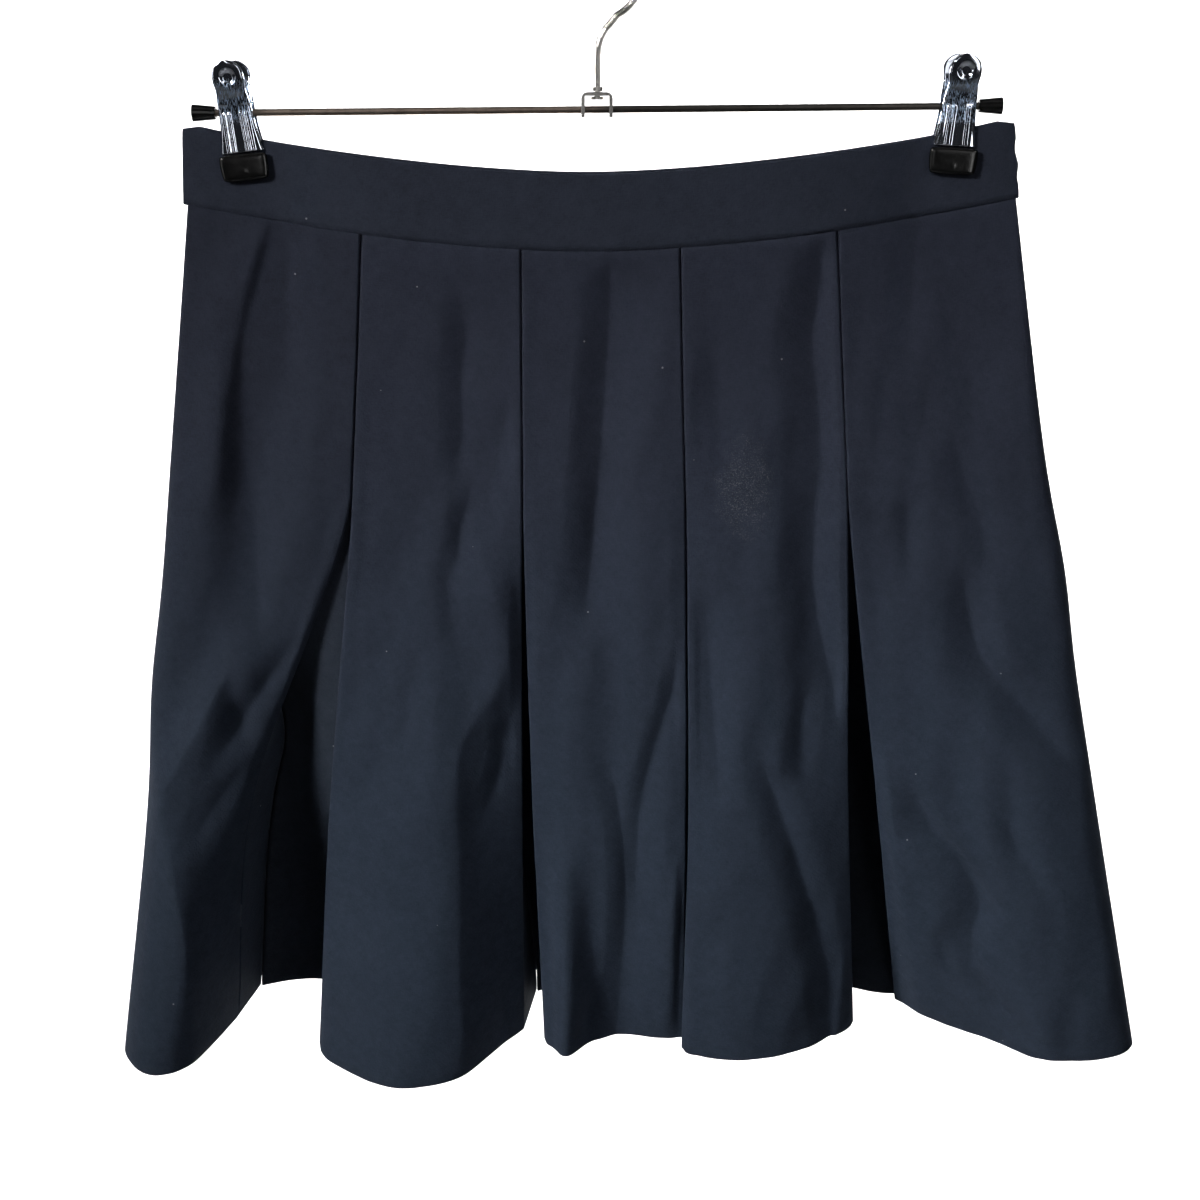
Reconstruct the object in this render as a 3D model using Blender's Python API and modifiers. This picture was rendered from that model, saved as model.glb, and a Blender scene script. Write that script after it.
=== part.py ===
"""Short box-pleated skirt in dark suiting, held at the waist by a chromed two-clip hanger.

Tables are in millimetres. X runs across the skirt, Z is up, the front faces -Y.
The origin is the inside top of the hook, where the whole thing hangs.
"""

import math

import bpy
from mathutils import Matrix, Vector

MM = 0.001

# Heights, below the inside top of the hook
BAR_DROP = 83.3
SEAM_MIDDLE = BAR_DROP + 68.7  # seam under the waistband, middle
SEAM_RISE = 24.5  # how far that seam climbs to the sides
HEM_DROP = BAR_DROP + 518.0

# Cloth
CLOTH = 1.0
BAND_CLOTH = 2.0
BAND_HEIGHT = 37.3
BAND_LIFT = 2.0  # taller by this at the ends
BAND_LEFT, BAND_RIGHT = (-208.0, -205.6), (211.8, 206.9)  # at the seam and at the top
CLIP_HALF = 1.35  # middle of each band wall from the clip plane, where the clips pinch
FOLD = 0.8  # radius of a pressed fold
GAP = 0.3
SIDE_START = 0.24  # edge of the cloth at a side seam, from the clip plane

# Shares of the way from the band seam to the hem
LEVELS = (0.0, 0.295, 0.67, 1.0)  # seam, end of the stitching, half way down the pleat, hem
RELEASE, MIDWAY = LEVELS[1], LEVELS[2]
ROWS = (0.0, 0.1, 0.2, 0.295, 0.375, 0.44, 0.5, 0.565, 0.67, 0.78, 0.89, 1.0)
FACE_STEPS, FOLD_STEPS, RETURN_STEPS = 8, 3, 3

# Side seams: (x, y) at the four levels
SIDES = {
    "left": ((-205.8, 0.0), (-226.4, -1.0), (-252.0, -3.0), (-278.6, -6.0)),
    "right": ((210.4, 0.0), (238.2, -1.0), (280.0, -1.0), (318.2, 1.0)),
}
# How far the cloth turns out of a side seam, and over what width, by level
SIDE_ROUND = (CLIP_HALF, 5.0, 8.0, 9.0)
SIDE_WIDE = (1.4, 9.0, 13.0, 15.0)
# Where each side seam swells outwards a little: x, share down, spread
SIDE_SWELL = {"left": (-2.6, 0.53, 0.09), "right": (2.4, 0.40, 0.08)}

# Box pleats. x is across, out is how far the cloth stands out from the clip plane.
# A return is the cloth that turns in behind a fold. It points this many degrees round from
# the opening: 90 is straight in, more is tucked back behind its own panel.
PLEAT = (
    "seam", "release",  # x at the band, then (x, out) where the stitching ends
    "left_mid", "left_hem", "right_mid", "right_hem",  # (x, out) of each fold
    "left_turn", "right_turn",  # direction of each return, half way down and at the hem
    "depth", "left_depth", "right_depth",  # of the returns: at the band, then at the hem
    "bow",  # how far the underlay sags inwards at the hem
)
FRONT_PLEATS = [dict(zip(PLEAT, row)) for row in (
    (-118.4, (-129.0, 12), (-193, 4), (-216, -20), (-149, 14), (-164, 8),
     (70, 74), (112, 114), 22, 29, 54, 8),
    (-38.2, (-39.2, 14), (-42, 6), (-43, -3), (-36, 9), (-31.5, 6),
     (100, 80), (125, 122), 30, 36, 42, 7),
    (41.8, (46.6, 14), (49.4, 15), (50.9, 4), (50.9, 18), (49.4, 14),
     (140, 125), (140, 125), 30, 38, 40, 6),
    (120.6, (131.6, 12), (141, 7), (154, -11), (157, 4), (182, -33),
     (95, 86), (150, 158), 22, 33, 33, -8),
)]
BACK_PLEATS = [dict(zip(PLEAT, row)) for row in (
    (-119.0, (-131.0, 37), (-178, 66), (-199, 88), (-158, 68), (-178, 90),
     (126, 122), (132, 128), 22, 31, 33, 2),
    (-39.0, (-41.0, 43), (-47, 71), (-53, 90), (-43, 72), (-46, 92),
     (138, 134), (134, 130), 30, 33, 34, 2),
    (41.0, (43.0, 43), (46, 72), (49, 92), (48, 71), (54, 90),
     (134, 130), (138, 132), 30, 34, 33, 2),
    (120.0, (134.0, 37), (156, 69), (163, 90), (177, 66), (187, 89),
     (130, 126), (124, 120), 22, 34, 31, 2),
)]

# Where a return starts to swing open and over what share down: the first front pleat opens late
OPENS = (LEVELS[1], 0.34)
LATE_OPENS = {(-1, 0, "left"): (0.42, 0.22), (-1, 0, "right"): (0.54, 0.42)}

# Panels, left to right: how far each one swells out between its folds at the four levels,
# and how far across its ridge runs
FRONT_SWELL = (
    ((0, 1.5, 13, 32), 0.52),
    ((0, 1.5, 17, 38.5), 0.52),
    ((0, 1.5, 4, -4), 0.50),
    ((0, 1.5, 11, 15), 0.48),
    ((0, 1.5, 14, 23), 0.60),
)
BACK_SWELL = (
    ((0, 2, 18, 27), 0.52),
    ((0, 1.5, 9, 15), 0.50),
    ((0, 1.5, 8, 12), 0.50),
    ((0, 1.5, 10, 16), 0.52),
    ((0, 2, 18, 27), 0.48),
)

# Rounded shoulders beside some folds: panel, hand, width, height, shares down where one starts
# and where it is full
FRONT_SHOULDERS = (
    (0, "right", 6, 2.0, 0.31, 0.45),
    (1, "left", 9, 9.0, 0.78, 1.0),
    (2, "left", 6, 7.0, 0.82, 1.0),
    (3, "left", 7, 4.5, 0.80, 1.0),
    (3, "right", 8, 4.0, 0.80, 1.0),
)

# Hanging folds within the panels: panel number, share across and share down at the top and
# at the bottom of the fold, half width across, height (less than 0 for a hollow)
FRONT_FOLDS = (
    (0, 0.55, 0.05, 0.30, 0.62, 13, -3.0),
    (1, 0.62, 0.12, 0.80, 0.95, 14, -3.0),
    (2, 0.20, 0.70, 0.15, 1.30, 10, 13.0),
    (2, 0.45, 0.06, 0.55, 0.80, 12, -2.5),
    (3, 0.70, 0.10, 0.76, 0.75, 13, -2.5),
    (4, 0.30, 0.55, 0.50, 0.95, 13, -3.5),
    (4, 0.54, 0.72, 0.58, 1.28, 14, 6.0),
)
BACK_FOLDS = (
    (0, 0.45, 0.08, 0.35, 0.70, 13, -3.0),
    (1, 0.40, 0.15, 0.30, 0.90, 13, -3.0),
    (3, 0.55, 0.12, 0.70, 0.85, 13, -3.0),
    (4, 0.60, 0.10, 0.65, 0.75, 13, -3.0),
)

# Hanger
BAR_RADIUS = 1.75
BAR_HALF = 190.0
BAR_TILT = math.radians(-0.5)
BAR_CLEAR = 2.05  # radius of every hole that the bar runs through
HOOK_RADIUS, HOOK_WIRE = 22.0, 1.7
HOOK_RISE = 63.0  # middle of the hook's bend above the bar
STRAP, STRAP_WIDTH, STRAP_HALF, STRAP_TOP = 1.8, 8.0, 7.8, 8.3
CLIPS = (("left", -175.5, 6.0), ("right", 177.0, -3.5))  # x of the tips, lean in degrees
# Clip plate: height from the bar, half width, distance from the clip plane
PLATE = (
    (24.0, 2.6, 11.2), (22.8, 5.0, 11.1), (20.0, 7.2, 10.7), (15.5, 7.8, 9.8), (11.0, 7.3, 8.5),
    (6.0, 7.9, 6.9), (0.0, 8.4, 5.6), (-7.0, 9.0, 5.0), (-13.0, 9.9, 4.6), (-18.9, 11.0, 4.3),
)


def material(name, colour, roughness, metallic=0.0):
    mat = bpy.data.materials.new(name)
    mat.use_nodes = True
    shader = mat.node_tree.nodes["Principled BSDF"]
    shader.inputs["Base Color"].default_value = (*colour, 1.0)
    shader.inputs["Roughness"].default_value = roughness
    shader.inputs["Metallic"].default_value = metallic
    mat.diffuse_color = (*colour, 1.0)
    return mat


def new_collection(name, hidden=False):
    found = bpy.data.collections.new(name)
    found.hide_render = hidden
    bpy.context.scene.collection.children.link(found)
    return found


def add_object(name, mesh, mat, collection):
    obj = bpy.data.objects.new(name, mesh)
    mesh.materials.append(mat)
    collection.objects.link(obj)
    return obj


def sheet(name, rows, thickness, mat, collection):
    """A wall of even thickness about a grid of points."""
    wide = len(rows[0])
    points = [Vector(p) * MM for row in rows for p in row]
    faces = [
        (r * wide + c, (r + 1) * wide + c, (r + 1) * wide + c + 1, r * wide + c + 1)
        for r in range(len(rows) - 1)
        for c in range(wide - 1)
    ]
    mesh = bpy.data.meshes.new(name)
    mesh.from_pydata(points, [], faces)
    mesh.update()
    obj = add_object(name, mesh, mat, collection)
    wall = obj.modifiers.new("wall", "SOLIDIFY")
    wall.thickness = thickness * MM
    wall.offset = 0.0
    wall.use_even_offset = True
    return obj


def along(values, v):
    """A smooth curve through the values at the four levels."""
    i = min(max(sum(v >= level for level in LEVELS) - 1, 0), 2)

    def slope(k):
        a, b = max(k - 1, 0), min(k + 1, 3)
        return (values[b] - values[a]) / (LEVELS[b] - LEVELS[a])

    span = LEVELS[i + 1] - LEVELS[i]
    t = (v - LEVELS[i]) / span
    return (
        values[i] * (2 * t**3 - 3 * t**2 + 1)
        + slope(i) * span * (t**3 - 2 * t**2 + t)
        + values[i + 1] * (3 * t**2 - 2 * t**3)
        + slope(i + 1) * span * (t**3 - t**2)
    )


def ease(t):
    t = min(max(t, 0.0), 1.0)
    return t * t * (3 - 2 * t)


def opened(side, number, hand, v):
    """How far a return has swung open at this level, from 0 to 1."""
    start, span = LATE_OPENS.get((side, number, hand), OPENS)
    return ease((v - start) / span) ** 0.8


def band_out(x):
    """How far a waistband wall stands out from the clip plane: least under the clips."""
    return CLIP_HALF + 8.6 * ease((161.0 - abs(x)) / 70.0) ** 0.5


def seam_z(x):
    return -SEAM_MIDDLE + SEAM_RISE * (abs(x + 6) / 212.0) ** 1.7


def hem_z(x, out, side):
    """The hem hangs lower where the cloth stands out, and at the sides."""
    return -HEM_DROP - 0.13 * abs(side * out - 56.0) - 6.0 * (x / 300.0) ** 2


def fold_point(pleat, which, v):
    """(x, out) of a pleat's fold. The two folds meet edge to edge down to the release."""
    shift = -(CLOTH + GAP) / 2 if which == "left" else (CLOTH + GAP) / 2
    x0 = pleat["seam"] + shift
    x1 = pleat["release"][0] + shift
    mid, hem = pleat[which + "_mid"], pleat[which + "_hem"]
    if v <= RELEASE:
        t = v / RELEASE
        first = band_out(pleat["seam"])
        return x0 + (x1 - x0) * t, first + (pleat["release"][1] - first) * t
    return (
        along((x0, x1, mid[0], hem[0]), v),
        along((band_out(x0), pleat["release"][1], mid[1], hem[1]), v),
    )


def bump(u, ridge):
    w = u / (2 * ridge) if u < ridge else 0.5 + (u - ridge) / (2 * (1 - ridge))
    return math.sin(math.pi * w)


def shoulder(number, u, width, v):
    """A panel's rounded turn into the folds at its edges."""
    found = 0.0
    for panel, hand, wide, high, start, full in FRONT_SHOULDERS:
        if panel == number:
            near = 1 - u if hand == "left" else u
            inside = min((1 - near) * width / wide, 1.0)
            found += high * near * ease((v - start) / (full - start)) * math.sqrt(
                1 - (1 - inside) ** 2
            )
    return found


def hanging_folds(folds, number, u, v, width):
    found = 0.0
    for panel, u0, v0, u1, v1, half, height in folds:
        if panel != number or not v0 < v < v1:
            continue
        t = (v - v0) / (v1 - v0)
        across = (u - (u0 + (u1 - u0) * t)) * width / half
        edge = ease(u * 8) * ease((1 - u) * 8)
        found += height * math.exp(-across * across) * math.sin(math.pi * t) ** 0.8 * edge
    return found


def face_curve(side, number, v):
    """One panel across, from its left edge to its right, as (x, out) points."""
    pleats = FRONT_PLEATS if side < 0 else BACK_PLEATS
    swell, ridge = (FRONT_SWELL if side < 0 else BACK_SWELL)[number]
    ends = []
    for at, which, seam in ((number - 1, "right", "left"), (number, "left", "right")):
        if 0 <= at < 4:
            x, out = fold_point(pleats[at], which, v)
            ends.append((x + FOLD * (1 if which == "right" else -1), out))
        else:
            rows = SIDES[seam]
            more, level, spread = SIDE_SWELL[seam]
            x = along([p[0] for p in rows], v) + more * math.exp(-(((v - level) / spread) ** 2))
            ends.append((x, side * along([p[1] for p in rows], v) + SIDE_START))
    (xl, ol), (xr, outr) = ends
    folds = FRONT_FOLDS if side < 0 else BACK_FOLDS
    amount = along(swell, v)
    held = ease(v / RELEASE)  # at the band every panel follows the band itself

    def place(u):
        x = xl + (xr - xl) * u
        out = ol + (outr - ol) * u + amount * bump(u, ridge)
        out += hanging_folds(folds, number, u, v, xr - xl)
        if side < 0:
            out += shoulder(number, u, xr - xl, v)
        return x, out

    if 0 < number < 4:
        steps = [i / FACE_STEPS for i in range(FACE_STEPS + 1)]
        found = [place(0.35 * t + 0.65 * (1 - math.cos(math.pi * t)) / 2) for t in steps]
        return [(x, band_out(x) + (out - band_out(x)) * held) for x, out in found]

    # A side panel turns out of its side seam in a quarter ellipse.
    wide, deep = along(SIDE_WIDE, v), along(SIDE_ROUND, v)
    share = wide / (xr - xl)
    found = []
    for i in range(FACE_STEPS + 1):
        if i < 3:
            turn = math.radians((0, 18, 50)[i])
            u, rounded = share * (1 - math.cos(turn)), math.sin(turn)
        else:
            t = (i - 3) / (FACE_STEPS - 3)
            u, rounded = share + (1 - share) * t * (1.5 - 0.5 * t), 1.0
        x, out = place(u if number == 0 else 1 - u)
        out += deep * (rounded - u)
        at_band = band_out(x)
        if i < 3:
            at_band = SIDE_START + (CLIP_HALF - SIDE_START) * rounded
        found.append((x, at_band + (out - at_band) * held))
    return found if number == 0 else found[::-1]


def returned(points, turn, depth, open_now):
    """The rounded fold at the last point of a panel and the cloth that turns in behind it."""
    (xa, oa), (xb, ob) = points[-2], points[-1]
    tangent = Vector((xb - xa, ob - oa)).normalized()
    inward = Vector((tangent.y, -tangent.x))
    centre = Vector(points[-1]) + inward * FOLD
    lean = math.degrees(math.atan2(-tangent.y, tangent.x))
    swing = math.radians(open_now * (180 + lean - turn))
    found = []
    for i in range(1, FOLD_STEPS + 1):
        angle = (math.pi - swing) * i / FOLD_STEPS
        found.append(centre + (-inward * math.cos(angle) + tangent * math.sin(angle)) * FOLD)
    # The return lies flat behind the panel, then straightens as it swings about the fold.
    spin = Matrix.Rotation(swing, 2)
    walked, last = 0.0, Vector(points[-1])
    path = [(0.0, last + inward * 2 * FOLD)]
    for a, b in zip(reversed(points[:-1]), reversed(points[1:])):
        step = Vector(a) - Vector(b)
        walked += step.length
        normal = Vector((step.y, -step.x)).normalized() * -1
        path.append((walked, Vector(a) + normal * 2 * FOLD))
    for i in range(1, RETURN_STEPS + 1):
        want = depth * i / RETURN_STEPS
        for (d0, p0), (d1, p1) in zip(path, path[1:]):
            if want <= d1:
                place = p0.lerp(p1, (want - d0) / (d1 - d0))
                break
        place = place.lerp(path[0][1] - tangent * want, open_now)
        found.append(centre + spin @ (place - centre))
    return found, swing


def mirrored(points):
    return [Vector((-p[0], p[1])) for p in points]


def pleat_depth(pleat, which, v):
    return pleat["depth"] + (pleat[which + "_depth"] - pleat["depth"]) * ease(v)


def pleat_turn(pleat, which, v):
    mid, hem = pleat[which + "_turn"]
    return mid + (hem - mid) * ease((v - MIDWAY) / (1 - MIDWAY))


def left_return(side, number, v):
    """The return at the right edge of panel `number`, which is the left side of a pleat."""
    pleat = (FRONT_PLEATS if side < 0 else BACK_PLEATS)[number]
    return returned(
        face_curve(side, number, v),
        pleat_turn(pleat, "left", v),
        pleat_depth(pleat, "left", v),
        opened(side, number, "left", v),
    )


def right_return(side, number, v):
    """The return at the left edge of panel `number`, worked as its mirror image."""
    pleat = (FRONT_PLEATS if side < 0 else BACK_PLEATS)[number - 1]
    found, swing = returned(
        mirrored(reversed(face_curve(side, number, v))),
        pleat_turn(pleat, "right", v),
        pleat_depth(pleat, "right", v),
        opened(side, number - 1, "right", v),
    )
    return mirrored(found), swing


def panel_section(side, number, v):
    found = [Vector(p) for p in face_curve(side, number, v)]
    if number < 4:
        found += left_return(side, number, v)[0]
    if number > 0:
        found = list(reversed(right_return(side, number, v)[0])) + found
    return found


def underlay_section(side, number, v):
    """The cloth that closes a pleat behind, from one return's end to the other's."""
    pleat = (FRONT_PLEATS if side < 0 else BACK_PLEATS)[number]
    ends, nears = [], []
    for (points, swing), hand in (
        (left_return(side, number, v), 1),
        (right_return(side, number + 1, v), -1),
    ):
        outward = (points[-1] - points[-2]).normalized()
        across = Vector((outward.y, -outward.x)) * -hand
        swing = min(swing, math.pi / 2)
        away = 1.35 + 0.75 * math.cos(swing) + 2.2 * math.sin(2 * swing)
        ends.append(points[-1] - outward * 0.6 + across * away)
        nears.append((points[-3] + points[-2]) / 2 + across * away)
    left, right = ends
    folds = face_curve(side, number, v)[-1], face_curve(side, number + 1, v)[0]
    closed_middle = Vector((
        (folds[0][0] + folds[1][0]) / 2, min(folds[0][1], folds[1][1]) - 2 * FOLD - 1.9,
    ))
    middle = (left + right) / 2
    left_open, right_open = (opened(side, number, hand, v) for hand in ("left", "right"))
    middle = closed_middle.lerp(middle, (left_open + right_open) / 2)
    sag = pleat["bow"] * ease((v - RELEASE) / (1 - RELEASE))
    near_left = nears[0].lerp((left + middle) / 2, min(1.0, 1.5 * left_open))
    near_right = nears[1].lerp((right + middle) / 2, min(1.0, 1.5 * right_open))
    return [
        place + Vector((0, -sag * math.sin(math.pi * i / 4)))
        for i, place in enumerate((left, near_left, middle, near_right, right))
    ]


def hung(section, side, name, mat, collection):
    """A piece of the skirt from its sections, hung between the band seam and the hem."""
    top = section(0.0)
    bottom = section(1.0)
    rows = []
    for v in ROWS:
        row = []
        for (x, out), first, last in zip(section(v), top, bottom):
            high = seam_z(first[0]) - GAP / 2
            low = hem_z(last[0], last[1], side)
            row.append((x, side * out, high + (low - high) * v))
        rows.append(row)
    return sheet(name, rows, CLOTH, mat, collection)


def waistband(side, name, mat, collection):
    """One wall of the curved band, with its ends turned in to the side seams."""
    turn = CLIP_HALF - 0.32
    half = 20
    rows = []
    for share in (0.0, 0.25, 0.5, 0.75, 1.0):
        left = BAND_LEFT[0] + (BAND_LEFT[1] - BAND_LEFT[0]) * share
        right = BAND_RIGHT[0] + (BAND_RIGHT[1] - BAND_RIGHT[0]) * share
        ends = [(turn * (1 - math.cos(a)), 0.32 + turn * math.sin(a)) for a in (0, 0.3, 0.9)]
        columns = [(left + x, out) for x, out in ends]
        for i in range(half + 1):
            x = left + turn + (right - left - 2 * turn) * i / half
            columns.append((x, band_out(x)))
        columns += [(right - x, out) for x, out in reversed(ends)]
        row = []
        for x, out in columns:
            height = GAP / 2 + (BAND_HEIGHT + BAND_LIFT * (x / 205) ** 4 - GAP / 2) * share
            corner = 0.8 * (1 - ease(min(x - left, right - x) / 6.0)) * share**2
            row.append((x, side * out, seam_z(x) + height - corner))
        rows.append(row)
    return sheet(name, rows, BAND_CLOTH, mat, collection)


def wire(name, points, radius, mat, collection):
    curve = bpy.data.curves.new(name, "CURVE")
    curve.dimensions = "3D"
    curve.bevel_depth = radius * MM
    curve.bevel_resolution = 2
    curve.use_fill_caps = True
    spline = curve.splines.new("POLY")
    spline.points.add(len(points) - 1)
    for point, place in zip(spline.points, points):
        point.co = (*(Vector(place) * MM), 1.0)
    obj = bpy.data.objects.new(name, curve)
    curve.materials.append(mat)
    collection.objects.link(obj)
    return obj


def meshed(obj, collection):
    """The same shape as a mesh with its caps welded on, so that it can take a Boolean."""
    graph = bpy.context.evaluated_depsgraph_get()
    mesh = bpy.data.meshes.new_from_object(obj.evaluated_get(graph))
    name, mat = obj.name, obj.data.materials[0]
    bpy.data.objects.remove(obj)
    mesh.materials.clear()
    found = add_object(name, mesh, mat, collection)
    weld = found.modifiers.new("weld", "WELD")
    weld.merge_threshold = 0.00002
    return found


def rod(name, radius, length, centre, axis, collection, mat, tip_radius=None, sides=24):
    """A round bar or cone about X, Y or Z."""
    turn = {"X": (0, math.pi / 2, 0), "Y": (math.pi / 2, 0, 0), "Z": (0, 0, 0)}[axis]
    bpy.ops.mesh.primitive_cone_add(
        vertices=sides,
        radius1=radius * MM,
        radius2=(radius if tip_radius is None else tip_radius) * MM,
        depth=length * MM,
        location=Vector(centre) * MM,
        rotation=turn,
    )
    return kept(name, mat, collection)


def block(name, size, centre, collection, mat):
    bpy.ops.mesh.primitive_cube_add(size=1.0, location=Vector(centre) * MM)
    bpy.context.object.scale = Vector(size) * MM
    bpy.ops.object.transform_apply(location=False, rotation=False, scale=True)
    return kept(name, mat, collection)


def kept(name, mat, collection):
    """The object just made, named and moved to its collection."""
    obj = bpy.context.object
    obj.name = obj.data.name = name
    obj.data.materials.append(mat)
    for old in list(obj.users_collection):
        old.objects.unlink(obj)
    collection.objects.link(obj)
    return obj


def boolean(obj, other, operation):
    cut = obj.modifiers.new(other.name, "BOOLEAN")
    cut.operation = operation
    cut.solver = "EXACT"
    cut.object = other
    return obj


def bar_z(x):
    return -BAR_DROP - 0.7 + math.sin(-BAR_TILT) * x


def build_hanger(parts, cutters, steel, rubber):
    left, right = -BAR_HALF, BAR_HALF
    wire(
        "bar", [(left, 0, bar_z(left)), (right, 0, bar_z(right))], BAR_RADIUS, steel, parts
    ).data.bevel_resolution = 5
    bore = rod(
        "bar_bore", BAR_CLEAR, 2 * BAR_HALF + 1.0, (0, 0, bar_z(0)), "X", cutters, steel
    )
    bore.rotation_euler.y += BAR_TILT
    for name, hand in (("left", -1), ("right", 1)):
        x = hand * (BAR_HALF + 4.5)
        cap = rod(
            "end_cap_" + name, 3.2, 11.5, (x, 0, bar_z(x)), "X", parts, rubber, tip_radius=4.2
        )
        cap.rotation_euler.y = hand * math.pi / 2
        boolean(cap, bore, "DIFFERENCE")

    # Bracket: a strap bent over the bar, with a hole for the bar in each leg
    top = bar_z(0) + STRAP_TOP
    foot = bar_z(0) - 3.6
    bracket = block(
        "bracket", (2 * STRAP_HALF, STRAP_WIDTH, top - foot), (0, 0, (top + foot) / 2), parts, steel
    )
    bevel = bracket.modifiers.new("bend", "BEVEL")
    bevel.width = 3.0 * MM
    bevel.segments = 3
    bevel.limit_method = "WEIGHT"
    weights = bracket.data.attributes.new("bevel_weight_edge", "FLOAT", "EDGE")
    for edge, weight in zip(bracket.data.edges, weights.data):
        ends = [bracket.data.vertices[i].co for i in edge.vertices]
        lifted = all(end.z > 0 for end in ends)
        if lifted and abs(ends[0].y - ends[1].y) > 0.001:
            weight.value = 1.0
    inside = block(
        "bracket_inside",
        (2 * (STRAP_HALF - STRAP), STRAP_WIDTH + 4, top - STRAP - foot + 4),
        (0, 0, (top - STRAP + foot - 4) / 2),
        cutters,
        steel,
    )
    shank = rod("hook_bore", 2.0, 6.0, (0.3, 0, top), "Z", cutters, steel)
    for other in (inside, bore, shank):
        boolean(bracket, other, "DIFFERENCE")

    # Hook: a stem that kicks to one side and bends round over it
    centre = HOOK_RISE - BAR_DROP
    points = [(0.3, top - 2.6), (0.3, centre - 38.0), (0.6, centre - 34.0)]
    points += [(1.7, centre - 30.0), (4.0, centre - 26.2), (6.8, centre - 23.2)]
    for degrees in range(-64, 196, 10):
        angle = math.radians(degrees)
        points.append((HOOK_RADIUS * math.cos(angle), centre + HOOK_RADIUS * math.sin(angle)))
    hook = meshed(
        wire("hook", [(x, 0, z) for x, z in points], HOOK_WIRE, steel, parts), parts
    )
    collar = rod("hook_collar", 2.7, 2.0, (0.3, 0, top + 1.35), "Z", cutters, steel)
    head = rod("hook_head", 3.3, 1.5, (0.3, 0, top - STRAP - 1.1), "Z", cutters, steel)
    boolean(hook, collar, "UNION")
    boolean(hook, head, "UNION")

    for name, tip, lean in CLIPS:
        build_clip(name, tip, lean, bore, parts, cutters, steel, rubber)


def build_clip(name, tip, lean, bore, parts, cutters, steel, rubber):
    """Two sprung plates with rubber tips, either side of the bar and of the band."""
    slope = math.tan(math.radians(lean))
    pivot = tip - slope * 26.0
    ground = bar_z(pivot)

    def place(across, height, out):
        """From the clip's own axes, leaning about the bar."""
        angle = math.radians(lean)
        x = across * math.cos(angle) - height * math.sin(angle)
        z = across * math.sin(angle) + height * math.cos(angle)
        return (pivot + x, out, ground + z)

    for face, side in (("front", -1), ("back", 1)):
        rows = []
        for height, half, out in PLATE:
            dish = 0.5 if height > 4 else 0.9
            rows.append([
                place(half * s, height, side * (out - dish * s * s))
                for s in (-1.0, -0.5, 0.0, 0.5, 1.0)
            ])
        sheet(f"clip_{name}_{face}_plate", rows, 0.9, steel, parts)
        pad = block(
            f"clip_{name}_{face}_tip",
            (23.8, 3.4, 13.2),
            place(0, -26.1, side * (CLIP_HALF + BAND_CLOTH / 2 + GAP + 1.7)),
            parts,
            rubber,
        )
        pad.rotation_euler.y = -math.radians(lean)
        soft = pad.modifiers.new("soft", "BEVEL")
        soft.width = 0.9 * MM
        soft.segments = 2
    sleeve = rod(
        f"clip_{name}_pivot", 3.9, 13.0, (pivot, 0, ground), "X", parts, steel
    )
    sleeve.rotation_euler.y += BAR_TILT
    boolean(sleeve, bore, "DIFFERENCE")


def build():
    for obj in list(bpy.data.objects):
        bpy.data.objects.remove(obj)
    parts = new_collection("pleated_skirt_on_hanger")
    cutters = new_collection("cutters", hidden=True)
    cloth = material("navy_suiting", (0.018, 0.022, 0.032), 0.85)
    band_cloth = material("band_suiting", (0.019, 0.023, 0.034), 0.85)
    under_cloth = material("pleat_suiting", (0.016, 0.021, 0.031), 0.88)
    steel = material("chromed_steel", (0.62, 0.60, 0.57), 0.22, 1.0)
    rubber = material("black_rubber", (0.012, 0.012, 0.012), 0.6)

    for side, face in ((-1, "front"), (1, "back")):
        waistband(side, "waistband_" + face, band_cloth, parts)
        for number in range(5):
            hung(
                lambda v, n=number, s=side: panel_section(s, n, v),
                side, f"{face}_panel_{number + 1}", cloth, parts,
            )
        for number in range(4):
            hung(
                lambda v, n=number, s=side: underlay_section(s, n, v),
                side, f"{face}_underlay_{number + 1}", under_cloth, parts,
            )
    build_hanger(parts, cutters, steel, rubber)
    for obj in cutters.objects:
        obj.hide_render = True
        obj.display_type = "WIRE"


build()
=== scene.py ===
"""Looks of the short box-pleated suiting skirt on its chromed clip hanger.

Tables are in millimetres, as in the CAD source. X runs across, Z is up, the front faces -Y.
"Out" is how far cloth stands from the skirt's middle plane; a side is -1 in front, 1 behind.
Shares run from 0 to 1: across a panel from its left edge, and down it from the band to the hem.
"""

import functools
import math

import bpy
from mathutils import Matrix, Vector, noise


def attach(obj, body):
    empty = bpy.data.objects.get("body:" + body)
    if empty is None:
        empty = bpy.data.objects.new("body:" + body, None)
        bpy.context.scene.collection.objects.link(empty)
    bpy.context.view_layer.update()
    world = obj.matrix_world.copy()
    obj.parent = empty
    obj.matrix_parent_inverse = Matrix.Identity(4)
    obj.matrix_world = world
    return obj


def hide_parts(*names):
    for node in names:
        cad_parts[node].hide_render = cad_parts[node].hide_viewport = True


MM = 0.001

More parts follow.
